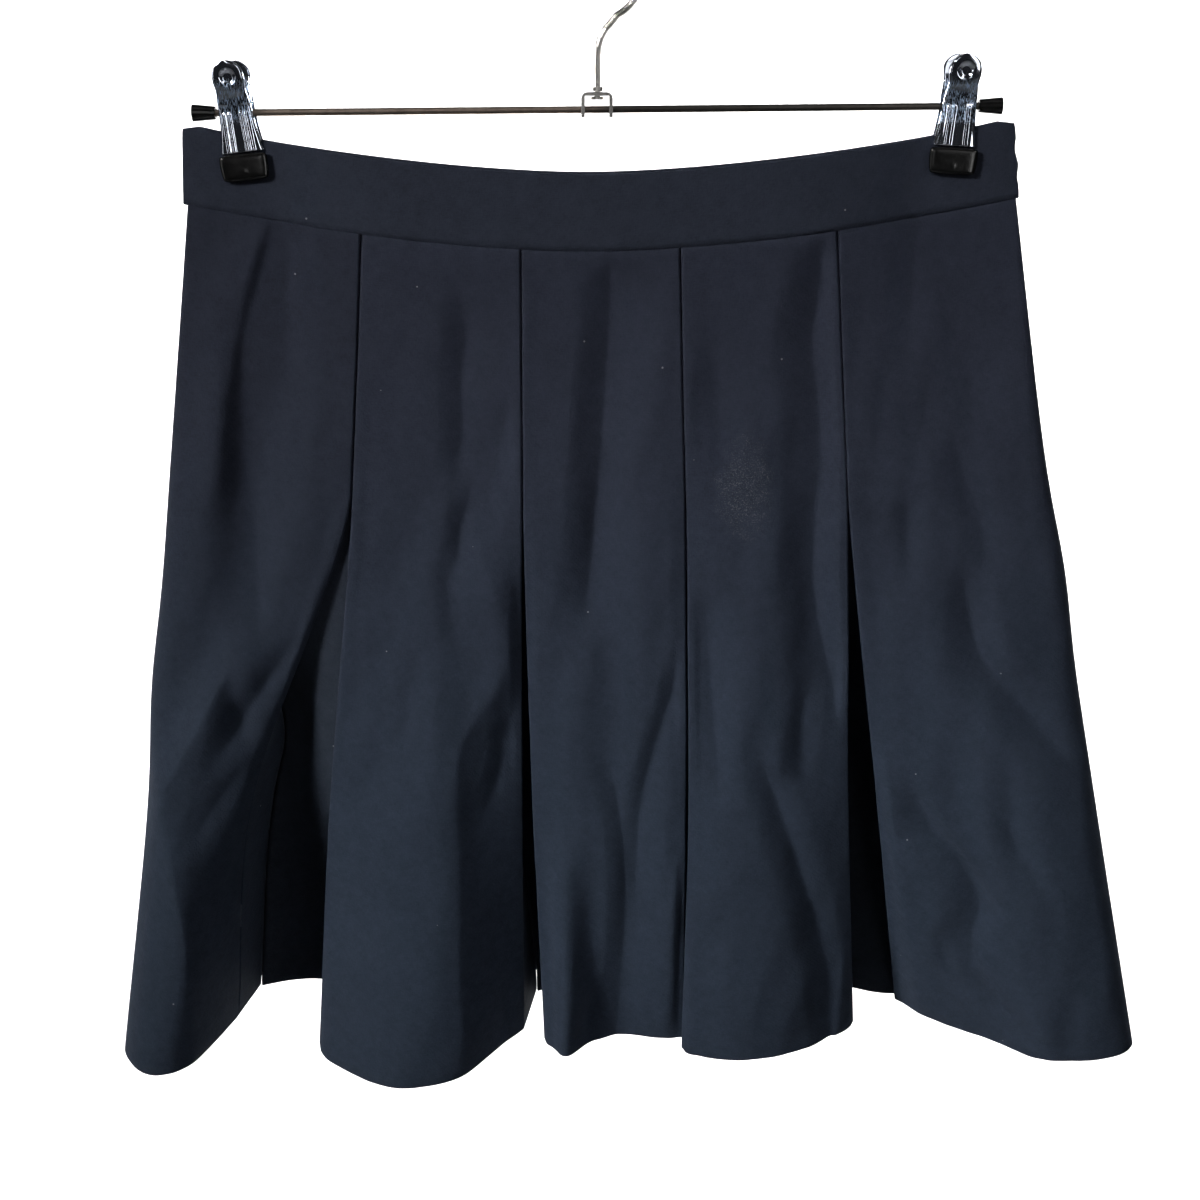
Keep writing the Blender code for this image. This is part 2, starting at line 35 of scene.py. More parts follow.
# Sizes shared with the CAD source
BAR_DROP = 83.3  # below the hook's inside top, which is the origin
SEAM_MIDDLE = BAR_DROP + 68.7
SEAM_CENTRE, SEAM_HALF, SEAM_RISE, SEAM_POWER = -6.0, 212.0, 24.5, 1.7
HEM_DROP = BAR_DROP + 518.0
HEM_LEVEL_OUT, HEM_TILT = 56.0, 0.13  # the hem hangs lower away from this plane
HEM_HALF, HEM_SAG = 300.0, 6.0
BAND_HEIGHT, BAND_LIFT, BAND_HALF = 37.3, 2.0, 205.0
BAND_LEFT, BAND_RIGHT = (-208.0, -205.6), (211.8, 206.9)  # at the seam and at the top edge
CLIP_HALF = 1.35  # how far out the band is where the clips hold it
BAND_OUT, BAND_FREE, BAND_SPREAD = 8.6, 161.0, 70.0  # it opens between the clips
FOLD = 0.8  # radius of a pleat's fold
GAP = 0.3
SIDE_START = 0.24  # how far out the cloth starts at a side seam
LEVELS = (0.0, 0.295, 0.67, 1.0)  # shares down: band, end of the stitching, midway, hem
RELEASE, MIDWAY = LEVELS[1], LEVELS[2]
CLOTH = 1.0
UNDER_LAP, UNDER_BEHIND = 0.6, 1.9  # how an underlay lies on its returns and behind its folds
UNDER_AWAY = (1.35, 0.75, 2.2)  # how far it keeps from a return: always, closed, half open

# Finer steps than the solids
ROW_COUNT = 112
FACE_STEPS = 72
ROUND_STEPS = 9
FOLD_STEPS, RETURN_STEPS = 6, 9
UNDER_STEPS = 18
BAND_STEPS, BAND_ROWS = 60, 12

SHELL, BAND_SHELL, PLATE_SHELL = 0.7, 0.6, 0.55  # thickness of what shows
HEM_TURN = 32.0  # depth of the hem's turned-up cloth
# The turned-up cloth: how far inside the skirt, and how far above the hem
HEM_ROWS = (
    (0.25, -0.55), (0.75, -0.75), (1.15, -0.3), (1.3, 1.5), (1.3, HEM_TURN * 0.5), (1.3, HEM_TURN),
)
# The tuck into the band seam, from the top: how far back, and how far up
TUCK_ROWS, TUCK_RISE = ((1.0, 0.25), (0.42, 0.22)), 0.35
PANEL_DROP, ROW_STEP = 455.0, 4.05  # rough length of a panel and height of one of its rows
CLEAR = 0.9  # the least that cloth keeps from the skirt's middle plane
BAND_WALL = 1.24  # from the band's outer cloth to its facing
BAND_END, BAND_FACE = 0.32, 0.62  # how far out its ends start, and half its wall

FACES = ((-1, "front"), (1, "back"))
SIDES = {
    "left": ((-205.8, 0.0), (-226.4, -1.0), (-252.0, -3.0), (-278.6, -6.0)),
    "right": ((210.4, 0.0), (238.2, -1.0), (280.0, -1.0), (318.2, 1.0)),
}
SIDE_ROUND = (CLIP_HALF, 5.0, 8.0, 9.0)
SIDE_WIDE = (1.4, 9.0, 13.0, 15.0)
# Where each side seam swells outwards a little: x, share down, spread
SIDE_SWELL = {"left": (-2.6, 0.53, 0.09), "right": (2.4, 0.40, 0.08)}

# A pleat: its folds are (x, out), its turns are degrees midway and at the hem
PLEAT = (
    "seam", "release", "left_mid", "left_hem", "right_mid", "right_hem",
    "left_turn", "right_turn", "depth", "left_depth", "right_depth", "bow",
)
FRONT_PLEATS = [dict(zip(PLEAT, row)) for row in (
    (-118.4, (-129.0, 12), (-193, 4), (-216, -20), (-149, 14), (-164, 8),
     (70, 74), (112, 114), 22, 29, 54, 8),
    (-38.2, (-39.2, 14), (-42, 6), (-43, -3), (-36, 9), (-31.5, 6),
     (100, 80), (125, 122), 30, 36, 42, 7),
    (41.8, (46.6, 14), (49.4, 15), (50.9, 4), (50.9, 18), (49.4, 14),
     (140, 125), (140, 125), 30, 38, 40, 6),
    (120.6, (131.6, 12), (141, 7), (154, -11), (157, 4), (182, -33),
     (95, 86), (150, 158), 22, 33, 33, -8),
)]
BACK_PLEATS = [dict(zip(PLEAT, row)) for row in (
    (-119.0, (-131.0, 37), (-178, 66), (-199, 88), (-158, 68), (-178, 90),
     (126, 122), (132, 128), 22, 31, 33, 2),
    (-39.0, (-41.0, 43), (-47, 71), (-53, 90), (-43, 72), (-46, 92),
     (138, 134), (134, 130), 30, 33, 34, 2),
    (41.0, (43.0, 43), (46, 72), (49, 92), (48, 71), (54, 90),
     (134, 130), (138, 132), 30, 34, 33, 2),
    (120.0, (134.0, 37), (156, 69), (163, 90), (177, 66), (187, 89),
     (130, 126), (124, 120), 22, 34, 31, 2),
)]

# Where a return starts to swing open and over what share down; the first front pleat opens late
OPENS = (LEVELS[1], 0.34)
LATE_OPENS = {(-1, 0, "left"): (0.42, 0.22), (-1, 0, "right"): (0.54, 0.42)}

# How far each panel swells out at the four levels, and the share across of its ridge
FRONT_SWELL = (
    ((0, 1.5, 13, 32), 0.52),
    ((0, 1.5, 17, 38.5), 0.52),
    ((0, 1.5, 4, -4), 0.50),
    ((0, 1.5, 11, 15), 0.48),
    ((0, 1.5, 14, 23), 0.60),
)
BACK_SWELL = (
    ((0, 2, 18, 27), 0.52),
    ((0, 1.5, 9, 15), 0.50),
    ((0, 1.5, 8, 12), 0.50),
    ((0, 1.5, 10, 16), 0.52),
    ((0, 2, 18, 27), 0.48),
)

# Rounded shoulders beside some folds: panel, hand, width, height, shares down where one starts
# and where it is full
FRONT_SHOULDERS = (
    (0, "right", 6, 2.0, 0.31, 0.45),
    (1, "left", 9, 9.0, 0.78, 1.0),
    (2, "left", 6, 7.0, 0.82, 1.0),
    (3, "left", 7, 4.5, 0.80, 1.0),
    (3, "right", 8, 4.0, 0.80, 1.0),
)

# Long soft folds: panel, shares across and down of the top, the same of the foot, half width
# and height
FRONT_FOLDS = (
    (0, 0.55, 0.05, 0.30, 0.62, 13, -3.0),
    (1, 0.62, 0.12, 0.80, 0.95, 14, -3.0),
    (2, 0.20, 0.70, 0.15, 1.30, 10, 13.0),
    (2, 0.45, 0.06, 0.55, 0.80, 12, -2.5),
    (3, 0.70, 0.10, 0.76, 0.75, 13, -2.5),
    (4, 0.30, 0.55, 0.50, 0.95, 13, -3.5),
    (4, 0.54, 0.72, 0.58, 1.28, 14, 6.0),
)
BACK_FOLDS = (
    (0, 0.45, 0.08, 0.35, 0.70, 13, -3.0),
    (1, 0.40, 0.15, 0.30, 0.90, 13, -3.0),
    (3, 0.55, 0.12, 0.70, 0.85, 13, -3.0),
    (4, 0.60, 0.10, 0.65, 0.75, 13, -3.0),
)

# Small unevenness: height, scale across, lean, scale down, and its place in the noise
RIPPLES = (
    (1.3, 0.022, 0.0, 0.0085, 0.0), (1.3, 0.055, 0.012, 0.021, 3.1), (0.26, 0.14, 0.0, 0.09, 9.7),
)

# Soft creases: panel, route from top to bottom as thousandths of the way (down,
# across), reach to its left and right, height (a trough is below 0), how sharp its line is
FRONT_CREASES = (
    (0, ((-50, 620), (20, 530), (60, 475), (120, 430), (200, 400)), 9, 18, -3.2, 0.97),
    (0, ((-50, 520), (20, 430), (60, 375), (120, 330), (220, 280), (340, 280)), 22, 11, 2.2, 0.8),
    (0, ((60, 440), (120, 450), (170, 460), (240, 450), (290, 478), (350, 530), (400, 590),
     (450, 680), (500, 800)), 21, 30, -6.6, 0.98),
    (0, ((120, 220), (240, 200), (340, 240), (440, 320)), 20, 18, 1.2, 0.4),
    (0, ((430, 990), (480, 900), (530, 800), (580, 700), (630, 600)), 13, 15, -3.6, 0.8),
    (0, ((450, 420), (500, 540), (560, 720), (630, 980)), 13, 12, -3.8, 0.85),
    (0, ((600, 980), (630, 800), (670, 660), (720, 460)), 11, 14, -2.6, 0.8),
    (0, ((440, 560), (510, 530), (560, 440), (600, 327), (650, 187), (720, 322), (800, 529),
     (900, 640), (970, 697), (1060, 740)), 17, 17, 4.4, 0.9),
    (1, ((20, 600), (60, 634), (100, 670), (150, 640), (200, 655), (250, 620), (290, 580)),
     13, 26, -3.9, 0.9),
    (1, ((240, 760), (280, 698), (310, 651), (350, 634), (410, 570)), 10, 13, -3.2, 0.9),
    (1, ((140, 970), (200, 900), (280, 840), (360, 780)), 22, 14, -3.0, 0.6),
    (1, ((310, 651), (360, 787), (410, 886), (450, 920), (500, 886), (540, 758), (580, 668),
     (710, 683), (840, 698), (970, 728), (1060, 750)), 30, 22, 4.3, 0.92),
    (1, ((530, 970), (550, 938), (620, 886), (690, 790)), 9, 12, -3.0, 0.85),
    (1, ((330, 500), (390, 580), (450, 620)), 8, 9, -1.8, 0.85),
    (1, ((300, 300), (480, 240), (700, 260)), 22, 26, -1.8, 0.2),
    (1, ((420, 440), (500, 400), (600, 380)), 9, 11, -1.5, 0.6),
    (2, ((-20, 570), (10, 567), (90, 550), (160, 517), (240, 483), (350, 416), (420, 366),
     (470, 330)), 18, 32, -5.8, 0.97),
    (2, ((580, 440), (600, 483), (630, 534), (700, 584), (830, 601), (950, 550), (1060, 500)),
     11, 26, -4.6, 0.97),
    (2, ((880, 560), (940, 400), (980, 260), (1040, 160)), 10, 16, -2.8, 0.7),
    (2, ((440, 990), (460, 986), (520, 920), (590, 802), (670, 713), (750, 683), (840, 680)),
     9, 14, -3.8, 0.9),
    (2, ((700, 980), (780, 940), (860, 920), (1040, 880)), 22, 10, 2.8, 0.8),
    (3, ((360, 90), (400, 103), (480, 126), (580, 160), (680, 200)), 17, 14, -4.0, 0.8),
    (3, ((60, 200), (160, 220), (280, 200)), 12, 18, -2.0, 0.5),
    (3, ((-20, 930), (30, 909), (60, 897), (120, 840), (180, 863), (240, 870), (320, 820),
     (390, 800), (460, 850), (510, 910), (580, 960)), 22, 14, -6.6, 0.95),
    (3, ((560, 380), (610, 466), (670, 567), (740, 668), (800, 743), (900, 840), (970, 863),
     (1060, 880)), 15, 14, -5.4, 0.95),
    (3, ((480, 800), (540, 720), (600, 700), (660, 740)), 12, 10, -2.6, 0.8),
    (4, ((270, 300), (300, 293), (370, 254), (420, 230)), 10, 12, -3.0, 0.9),
    (4, ((10, 580), (50, 652), (100, 715), (150, 678), (200, 647), (240, 600)), 19, 22, -4.2, 0.9),
    (4, ((210, 530), (240, 553), (280, 572), (300, 614), (340, 634), (380, 610), (420, 560)),
     15, 18, -3.8, 0.95),
    (4, ((360, 460), (390, 501), (490, 562), (550, 722), (610, 870), (650, 960)),
     25, 16, -8.6, 0.97),
    (4, ((620, 120), (660, 165), (720, 255), (740, 325), (800, 410), (850, 360), (900, 320),
     (950, 290)), 24, 9, -8.2, 0.97),
    (4, ((580, 20), (680, 40), (800, 70), (920, 90), (1050, 100)), 9, 44, 5.2, 0.7),
    (4, ((640, 500), (680, 557), (720, 600), (750, 642), (800, 680)), 13, 12, -3.8, 0.9),
    (4, ((830, 160), (870, 235), (930, 374), (970, 512), (1040, 640)), 14, 13, -5.0, 0.95),
    (4, ((560, 560), (660, 600), (800, 560), (950, 600)), 14, 18, -2.4, 0.7),
)
BACK_CREASES = (
    (0, ((20, 550), (120, 470), (260, 450), (400, 360)), 16, 30, -3.4, 0.6),
    (0, ((440, 300), (620, 420), (800, 550), (1030, 640)), 18, 24, -3.0, 0.7),
    (0, ((380, 820), (520, 680), (680, 620)), 12, 16, -2.0, 0.4),
    (1, ((20, 420), (140, 450), (280, 440), (460, 340)), 16, 26, -3.0, 0.6),
    (1, ((460, 520), (620, 580), (800, 640), (1030, 700)), 20, 24, -3.2, 0.8),
    (1, ((400, 180), (500, 260), (600, 380)), 12, 14, -1.8, 0.4),
    (2, ((10, 540), (120, 520), (260, 560), (460, 640)), 26, 15, -3.4, 0.8),
    (2, ((480, 400), (660, 360), (840, 340), (1030, 260)), 18, 24, -3.0, 0.7),
    (2, ((550, 860), (700, 760), (980, 720)), 10, 14, -2.0, 0.5),
    (3, ((20, 360), (160, 300), (300, 320), (460, 420)), 28, 16, -3.4, 0.6),
    (3, ((440, 720), (580, 600), (760, 540), (1030, 480)), 24, 18, -3.2, 0.8),
    (4, ((20, 460), (160, 540), (280, 600), (420, 620)), 24, 16, -3.2, 0.6),
    (4, ((400, 320), (560, 420), (700, 400), (880, 280)), 18, 14, 2.6, 0.6),
    (4, ((560, 800), (740, 700), (880, 640), (1030, 620)), 20, 14, -2.6, 0.6),
)

FORMS = {
    -1: (FRONT_PLEATS, FRONT_SWELL, FRONT_FOLDS, FRONT_CREASES),
    1: (BACK_PLEATS, BACK_SWELL, BACK_FOLDS, BACK_CREASES),
}
CREASE_FADE, CREASE_EDGE = 0.09, 6.0  # creases fade at their ends and at a panel's edges
LINE_SHARP, LINE_SOFT = 0.5, 5.0  # how rounded a crease's line is

BAR_TILT = math.radians(-0.5)
BAR_LOW, PIVOT_RISE = 0.7, 26.0  # the clips' pivots lie under the bar and above the tips
CLIPS = (("left", -175.5, 6.0), ("right", 177.0, -3.5))  # x of the tip, lean in degrees
# Clip plates, from the bar: height, half width, distance from the clip's middle plane
PLATE = (
    (24.0, 2.6, 11.2), (22.8, 5.0, 11.1), (20.0, 7.2, 10.7), (15.5, 7.8, 9.8), (11.0, 7.3, 8.5),
    (6.0, 7.9, 6.9), (0.0, 8.4, 5.6), (-7.0, 9.0, 5.0), (-13.0, 9.9, 4.6), (-18.9, 11.0, 4.3),
)
PLATE_TOP, PLATE_STEP, PLATE_ROWS, PLATE_COLUMNS = 24.0, 0.55, 79, 36
ROUND_MIDDLE, ROUND_RADIUS = 17.2, 7.45  # the round end of the handle
DIMPLE_MIDDLE, DIMPLE_DEPTH = 17.0, 1.5
RIBS, RIB_HIGH, RIB_WIDE = (-5.3, -3.0, 3.0, 5.3), 0.85, 0.75
TIP_HALF, TIP_DROP, TIP_PINCH = (11.9, 6.6, 1.7), 26.1, 1.0
TIP_COLUMNS, TIP_LINES = 28, 20

# The weave's scales across and down: warp and weft, twill, slubs
THREADS, TWILL, SLUB = ((2100, 300, 1), (260, 1900, 1)), (270, 270, 1), (36, 420, 1)
MOTTLE, NAP = (24.0, 3.0, 0.55), (150.0, 5.0, 0.74)  # scale, detail, roughness
THREAD_TONE, MOTTLE_TONE, TWILL_TONE, NAP_TONE = 0.55, 0.22, 0.04, 0.80
NAP_RELIEF, WEAVE_RELIEF, FINE_RELIEF = 0.0005, 0.00025, 0.0001  # metres
PAINTED_LIGHT_HEIGHTS = (-0.17, -0.50)  # painted light: the cloth turns paler and bluer between these heights, in metres
LINT_SCALE, LINT_SIZE, LINT_RARITY, LINT_COVER = 48.0, 0.024, 0.40, 0.55
LINT_COLOUR, DUST_COLOUR = (0.28, 0.29, 0.31), (0.30, 0.32, 0.35)
DUST_PLACE, DUST_HALF = (0.0775, -0.273), (0.016, 0.031)  # x and z, in metres
TARNISH_ENDS = (-0.012, 0.010)  # across the bar, in metres
SCUFF_HIGH, SCUFF_LOW, SCUFF_RIM = -0.068, -0.092, 0.004
# Cloth colours, above and below: the paler, bluer colour below is painted light
UPPER, LOWER_WITH_PAINTED_LIGHT = (0.0188, 0.0222, 0.0362), (0.0212, 0.0300, 0.0478)
BAND_COLOUR = (0.0182, 0.0220, 0.0346)
# Painted shade: the underlays deep in the pleats are a darker copy of the cloth, paler and bluer
# towards the hem as painted light
UNDER_PAINTED_SHADE_COLOURS = (0.0180, 0.0215, 0.0325), (0.0205, 0.0270, 0.0400)
# Crossing scratches: turn, and scales along and across
SCRATCHES = ((0.5, (3200, 900, 260)), (-0.6, (3600, 900, 300)), (1.3, (3000, 900, 340)))

# Studio, in metres: name, place, aim, size, power in watts, spread in degrees, colour
MIDDLE = (0.0, 0.0, -0.36)
LAMPS = (
    ("key", (-2.75, -2.10, 1.22), (0.10, 0.0, -0.38), (0.9, 0.9), 3.5, 17, (1.0, 0.99, 0.97)),
    ("fill", (0.9, -1.7, 0.35), MIDDLE, (0.9, 0.9), 0.30, 50),
    ("edge", (1.88, -1.58, 1.36), MIDDLE, (0.8, 0.8), 0.45, 34),
    ("rear_left", (-1.9, 1.5, 0.0), MIDDLE, (0.5, 0.5), 1.2, 34),
    ("rear_right", (2.0, 1.5, 0.1), MIDDLE, (0.5, 0.5), 0.7, 34),
)
CARDS = (
    ("card_left", (-1.7, -0.9, -0.3), (0.16, 0.9), 1.6),
    ("card_front", (-0.30, -1.9, 0.16), (0.22, 0.6), 1.2),
    ("card_right", (1.0, -1.6, -0.3), (0.30, 0.9), 3.6),
    ("card_top", (0.0, -0.5, 1.2), (1.6, 0.12), 1.8),
)
SWEEP_LAMP = ("backdrop", (0.0, 0.6, 0.9), (0.0, 2.3, -0.8), (3.4, 0.8), 80.0, 70)
FLOOR_LOW, FLOOR_HALF, FLOOR_FRONT = -1.9, 3.2, -2.6
SWEEP_START, SWEEP_RADIUS, SWEEP_HIGH, SWEEP_STEPS = 1.6, 0.7, 3.4, 40
CAMERA_PLACE, CAMERA_DOWN, CAMERA_SHIFT, LENS = (0.0, -0.85, -0.0633), 17.994, 0.0025, 49.365


# ---- Curves of the cloth

def smooth_row(keys, values, at):
    """A smooth curve through values at uneven keys, level beyond both ends."""
    if at <= keys[0]:
        return values[0]
    if at >= keys[-1]:
        return values[-1]
    i = sum(at >= key for key in keys) - 1
    last = len(keys) - 1

    def slope(k):
        a, b = max(k - 1, 0), min(k + 1, last)
        return (values[b] - values[a]) / (keys[b] - keys[a])

    span = keys[i + 1] - keys[i]
    t = (at - keys[i]) / span
    return (
        values[i] * (2 * t**3 - 3 * t**2 + 1)
        + slope(i) * span * (t**3 - 2 * t**2 + t)
        + values[i + 1] * (3 * t**2 - 2 * t**3)
        + slope(i + 1) * span * (t**3 - t**2)
    )


def along(values, v):
    """A smooth curve through the values at the four levels."""
    return smooth_row(LEVELS, values, v)


def ease(t):
    t = min(max(t, 0.0), 1.0)
    return t * t * (3 - 2 * t)


def opened(side, number, hand, v):
    """How far a return has swung open at this level, from 0 to 1."""
    start, span = LATE_OPENS.get((side, number, hand), OPENS)
    return ease((v - start) / span) ** 0.8


def band_out(x):
    return CLIP_HALF + BAND_OUT * ease((BAND_FREE - abs(x)) / BAND_SPREAD) ** 0.5


def seam_z(x):
    return -SEAM_MIDDLE + SEAM_RISE * (abs(x - SEAM_CENTRE) / SEAM_HALF) ** SEAM_POWER


def hem_z(x, out, side):
    tilt = HEM_TILT * abs(side * out - HEM_LEVEL_OUT)
    return -HEM_DROP - tilt - HEM_SAG * (x / HEM_HALF) ** 2


def fold_point(pleat, which, v):
    """Where a pleat's left or right fold is, as (x, out)."""
    shift = (CLOTH + GAP) / 2 * (-1 if which == "left" else 1)
    x0 = pleat["seam"] + shift
    x1 = pleat["release"][0] + shift
    mid, hem = pleat[which + "_mid"], pleat[which + "_hem"]
    if v <= RELEASE:
        t = v / RELEASE
        first = band_out(pleat["seam"])
        return x0 + (x1 - x0) * t, first + (pleat["release"][1] - first) * t
    return (
        along((x0, x1, mid[0], hem[0]), v),
        along((band_out(x0), pleat["release"][1], mid[1], hem[1]), v),
    )


def bump(u, ridge):
    """One broad wave across a panel, highest at its ridge."""
    w = u / (2 * ridge) if u < ridge else 0.5 + (u - ridge) / (2 * (1 - ridge))
    return math.sin(math.pi * w)


def shoulder(number, u, width, v):
    """A panel's rounded turn into the folds at its edges."""
    found = 0.0
    for panel, hand, wide, high, start, full in FRONT_SHOULDERS:
        if panel == number:
            near = 1 - u if hand == "left" else u
            inside = min((1 - near) * width / wide, 1.0)
            found += high * near * ease((v - start) / (full - start)) * math.sqrt(
                1 - (1 - inside) ** 2
            )
    return found


def hanging_folds(folds, number, u, v, width):
    found = 0.0
    for panel, u0, v0, u1, v1, half, height in folds:
        if panel != number or not v0 < v < v1:
            continue
        t = (v - v0) / (v1 - v0)
        across = (u - (u0 + (u1 - u0) * t)) * width / half
        edge = ease(u * 8) * ease((1 - u) * 8)
        found += height * math.exp(-across * across) * math.sin(math.pi * t) ** 0.8 * edge
    return found


def crease_marks(creases, number, v, width):
    """The creases at this level, as (share across, left reach, right reach, height, sharpness)."""
    step = 0.01
    found = []
    for panel, route, left, right, height, sharp in creases:
        downs, shares = ([n / 1000 for n in row] for row in zip(*route))
        if panel != number or not downs[0] < v < downs[-1]:
            continue
        centre = smooth_row(downs, shares, v)
        lean = (smooth_row(downs, shares, v + step) - centre) * width / (step * PANEL_DROP)
        wider = math.sqrt(1 + min(lean * lean, 4.0))
        fade = min(CREASE_FADE, 0.45 * (downs[-1] - downs[0]))
        ends = ease((v - downs[0]) / fade) * ease((downs[-1] - v) / fade)
        found.append((centre, left * wider, right * wider, height * ends, sharp))
    return found


def crease_height(marks, u, width):
    """A crease is a flat facet either side of its line, rounded at the line and at its edges."""
    found = 0.0
    for centre, left, right, height, sharp in marks:
        far = (u - centre) * width
        line = LINE_SHARP + LINE_SOFT * (1 - sharp)
        t = (math.sqrt(far * far + line * line) - line) / (left if far < 0 else right)
        if t < 1:
            found += height * (1 - t) ** 1.5
    return found * ease(u * width / CREASE_EDGE) * ease((1 - u) * width / CREASE_EDGE)


def ripple(side, number, u, v, width):
    """The small unevenness of cloth that has hung and been worn."""
    x, z = u * width, v * PANEL_DROP
    seed = 7.3 * number + (31.0 if side > 0 else 0.0)
    found = sum(
        height * noise.noise(Vector((x * across + z * lean, z * down, seed + layer)))
        for height, across, lean, down, layer in RIPPLES
    )
    hold = 0.25 + 0.75 * ease(v / 0.25)
    edge = ease(u * 10) * ease((1 - u) * 10)
    return found * hold * edge


def held_out(base, push, room):
    """Cloth pushed inwards stops softly before it meets the other side of the skirt."""
    room = max(room, 0.05)
    return base + (-room * math.tanh(-push / room) if push < 0 else push)


@functools.cache
def face_curve(side, number, v):
    """One panel across, from its left edge to its right, as (x, out) points."""
    pleats, swells, folds, creases = FORMS[side]
    swell, ridge = swells[number]
    ends = []
    for at, which, seam in ((number - 1, "right", "left"), (number, "left", "right")):
        if 0 <= at < 4:
            x, out = fold_point(pleats[at], which, v)
            ends.append((x + FOLD * (1 if which == "right" else -1), out))
        else:
            rows = SIDES[seam]
            more, level, spread = SIDE_SWELL[seam]
            x = along([p[0] for p in rows], v) + more * math.exp(-(((v - level) / spread) ** 2))
            ends.append((x, side * along([p[1] for p in rows], v) + SIDE_START))
    (xl, ol), (xr, outr) = ends
    width = xr - xl
    marks = crease_marks(creases, number, v, width)
    amount = along(swell, v)
    held = ease(v / RELEASE)

    def place(u):
        x = xl + width * u
        out = ol + (outr - ol) * u + amount * bump(u, ridge)
        out += hanging_folds(folds, number, u, v, width)
        if side < 0:
            out += shoulder(number, u, width, v)
        return x, out

    def soft(u):
        height = crease_height(marks, u, width) + ripple(side, number, u, v, width)
        return height * min(1.0, v / 0.02)  # the band seam holds the cloth level

    share, deep, rounds, seam = 0.0, 0.0, 0, 0.0
    if number in (0, 4):  # an outer panel turns round at its side seam
        share, deep, rounds = along(SIDE_WIDE, v) / width, along(SIDE_ROUND, v), ROUND_STEPS
        seam = ol if number == 0 else outr
    found = []
    for i in range(FACE_STEPS + 1):
        if i < rounds:
            turn = math.pi / 2 * i / rounds
            u, rounded = share * (1 - math.cos(turn)), math.sin(turn)
        else:
            u, rounded = share + (1 - share) * (i - rounds) / (FACE_STEPS - rounds), 1.0
        across = 1 - u if number == 4 else u
        x, out = place(across)
        out += deep * (rounded - u)
        at_band = band_out(x)
        if i < rounds:
            at_band = SIDE_START + (CLIP_HALF - SIDE_START) * rounded
        base = at_band + (out - at_band) * held
        found.append((x, held_out(base, soft(across), base - seam - CLEAR)))
    if number == 4:
        found.reverse()
    return found


def returned(points, turn, depth, open_now):
    """The rounded fold at the last point of a panel and the cloth that turns in behind it."""
    back = FACE_STEPS // 8
    (xa, oa), (xb, ob) = points[-1 - back], points[-1]
    tangent = Vector((xb - xa, ob - oa)).normalized()
    inward = Vector((tangent.y, -tangent.x))
    centre = Vector(points[-1]) + inward * FOLD
    lean = math.degrees(math.atan2(-tangent.y, tangent.x))
    swing = math.radians(open_now * (180 + lean - turn))
    found = []
    for i in range(1, FOLD_STEPS + 1):
        angle = (math.pi - swing) * i / FOLD_STEPS
        found.append(centre + (-inward * math.cos(angle) + tangent * math.sin(angle)) * FOLD)
    spin = Matrix.Rotation(swing, 2)
    walked, last = 0.0, Vector(points[-1])
    path = [(0.0, last + inward * 2 * FOLD)]
    coarse = list(reversed(points))[::back]
    for b, a in zip(coarse, coarse[1:]):
        step = Vector(a) - Vector(b)
        walked += step.length
        normal = Vector((step.y, -step.x)).normalized() * -1
        path.append((walked, Vector(a) + normal * 2 * FOLD))
    for i in range(1, RETURN_STEPS + 1):
        want = depth * i / RETURN_STEPS
        for (d0, p0), (d1, p1) in zip(path, path[1:]):
            if want <= d1:
                spot = p0.lerp(p1, (want - d0) / (d1 - d0))
                break
        spot = spot.lerp(path[0][1] - tangent * want, open_now)
        found.append(centre + spin @ (spot - centre))
    return found, swing


def mirrored(points):
    return [Vector((-p[0], p[1])) for p in points]


def turned_in(side, number, hand, v):
    """The cloth that turns in behind a panel's edge, on the left or right of a pleat."""
    pleat = FORMS[side][0][number]
    depth = pleat["depth"] + (pleat[hand + "_depth"] - pleat["depth"]) * ease(v)
    mid, hem = pleat[hand + "_turn"]
    turn = mid + (hem - mid) * ease((v - MIDWAY) / (1 - MIDWAY))
    swung = opened(side, number, hand, v)
    if hand == "left":
        return returned(face_curve(side, number, v), turn, depth, swung)
    edge = mirrored(reversed(face_curve(side, number + 1, v)))
    found, swing = returned(edge, turn, depth, swung)
    return mirrored(found), swing


def panel_section(side, number, v):
    """One panel across with the returns at its edges."""
    found = [Vector(p) for p in face_curve(side, number, v)]
    if number < 4:
        found += turned_in(side, number, "left", v)[0]
    if number > 0:
        found = list(reversed(turned_in(side, number - 1, "right", v)[0])) + found
    return found


def through(points, steps):
    """A smooth curve through a few points."""
    found = []
    last = len(points) - 1
    for i in range(steps + 1):
        t = last * i / steps
        k = min(int(t), last - 1)
        t -= k
        p0, p1, p2, p3 = (points[min(max(k + d, 0), last)] for d in (-1, 0, 1, 2))
        found.append(
            0.5 * (2 * p1 + (p2 - p0) * t + (2 * p0 - 5 * p1 + 4 * p2 - p3) * t**2
                   + (3 * p1 - p0 - 3 * p2 + p3) * t**3)
        )
    return found


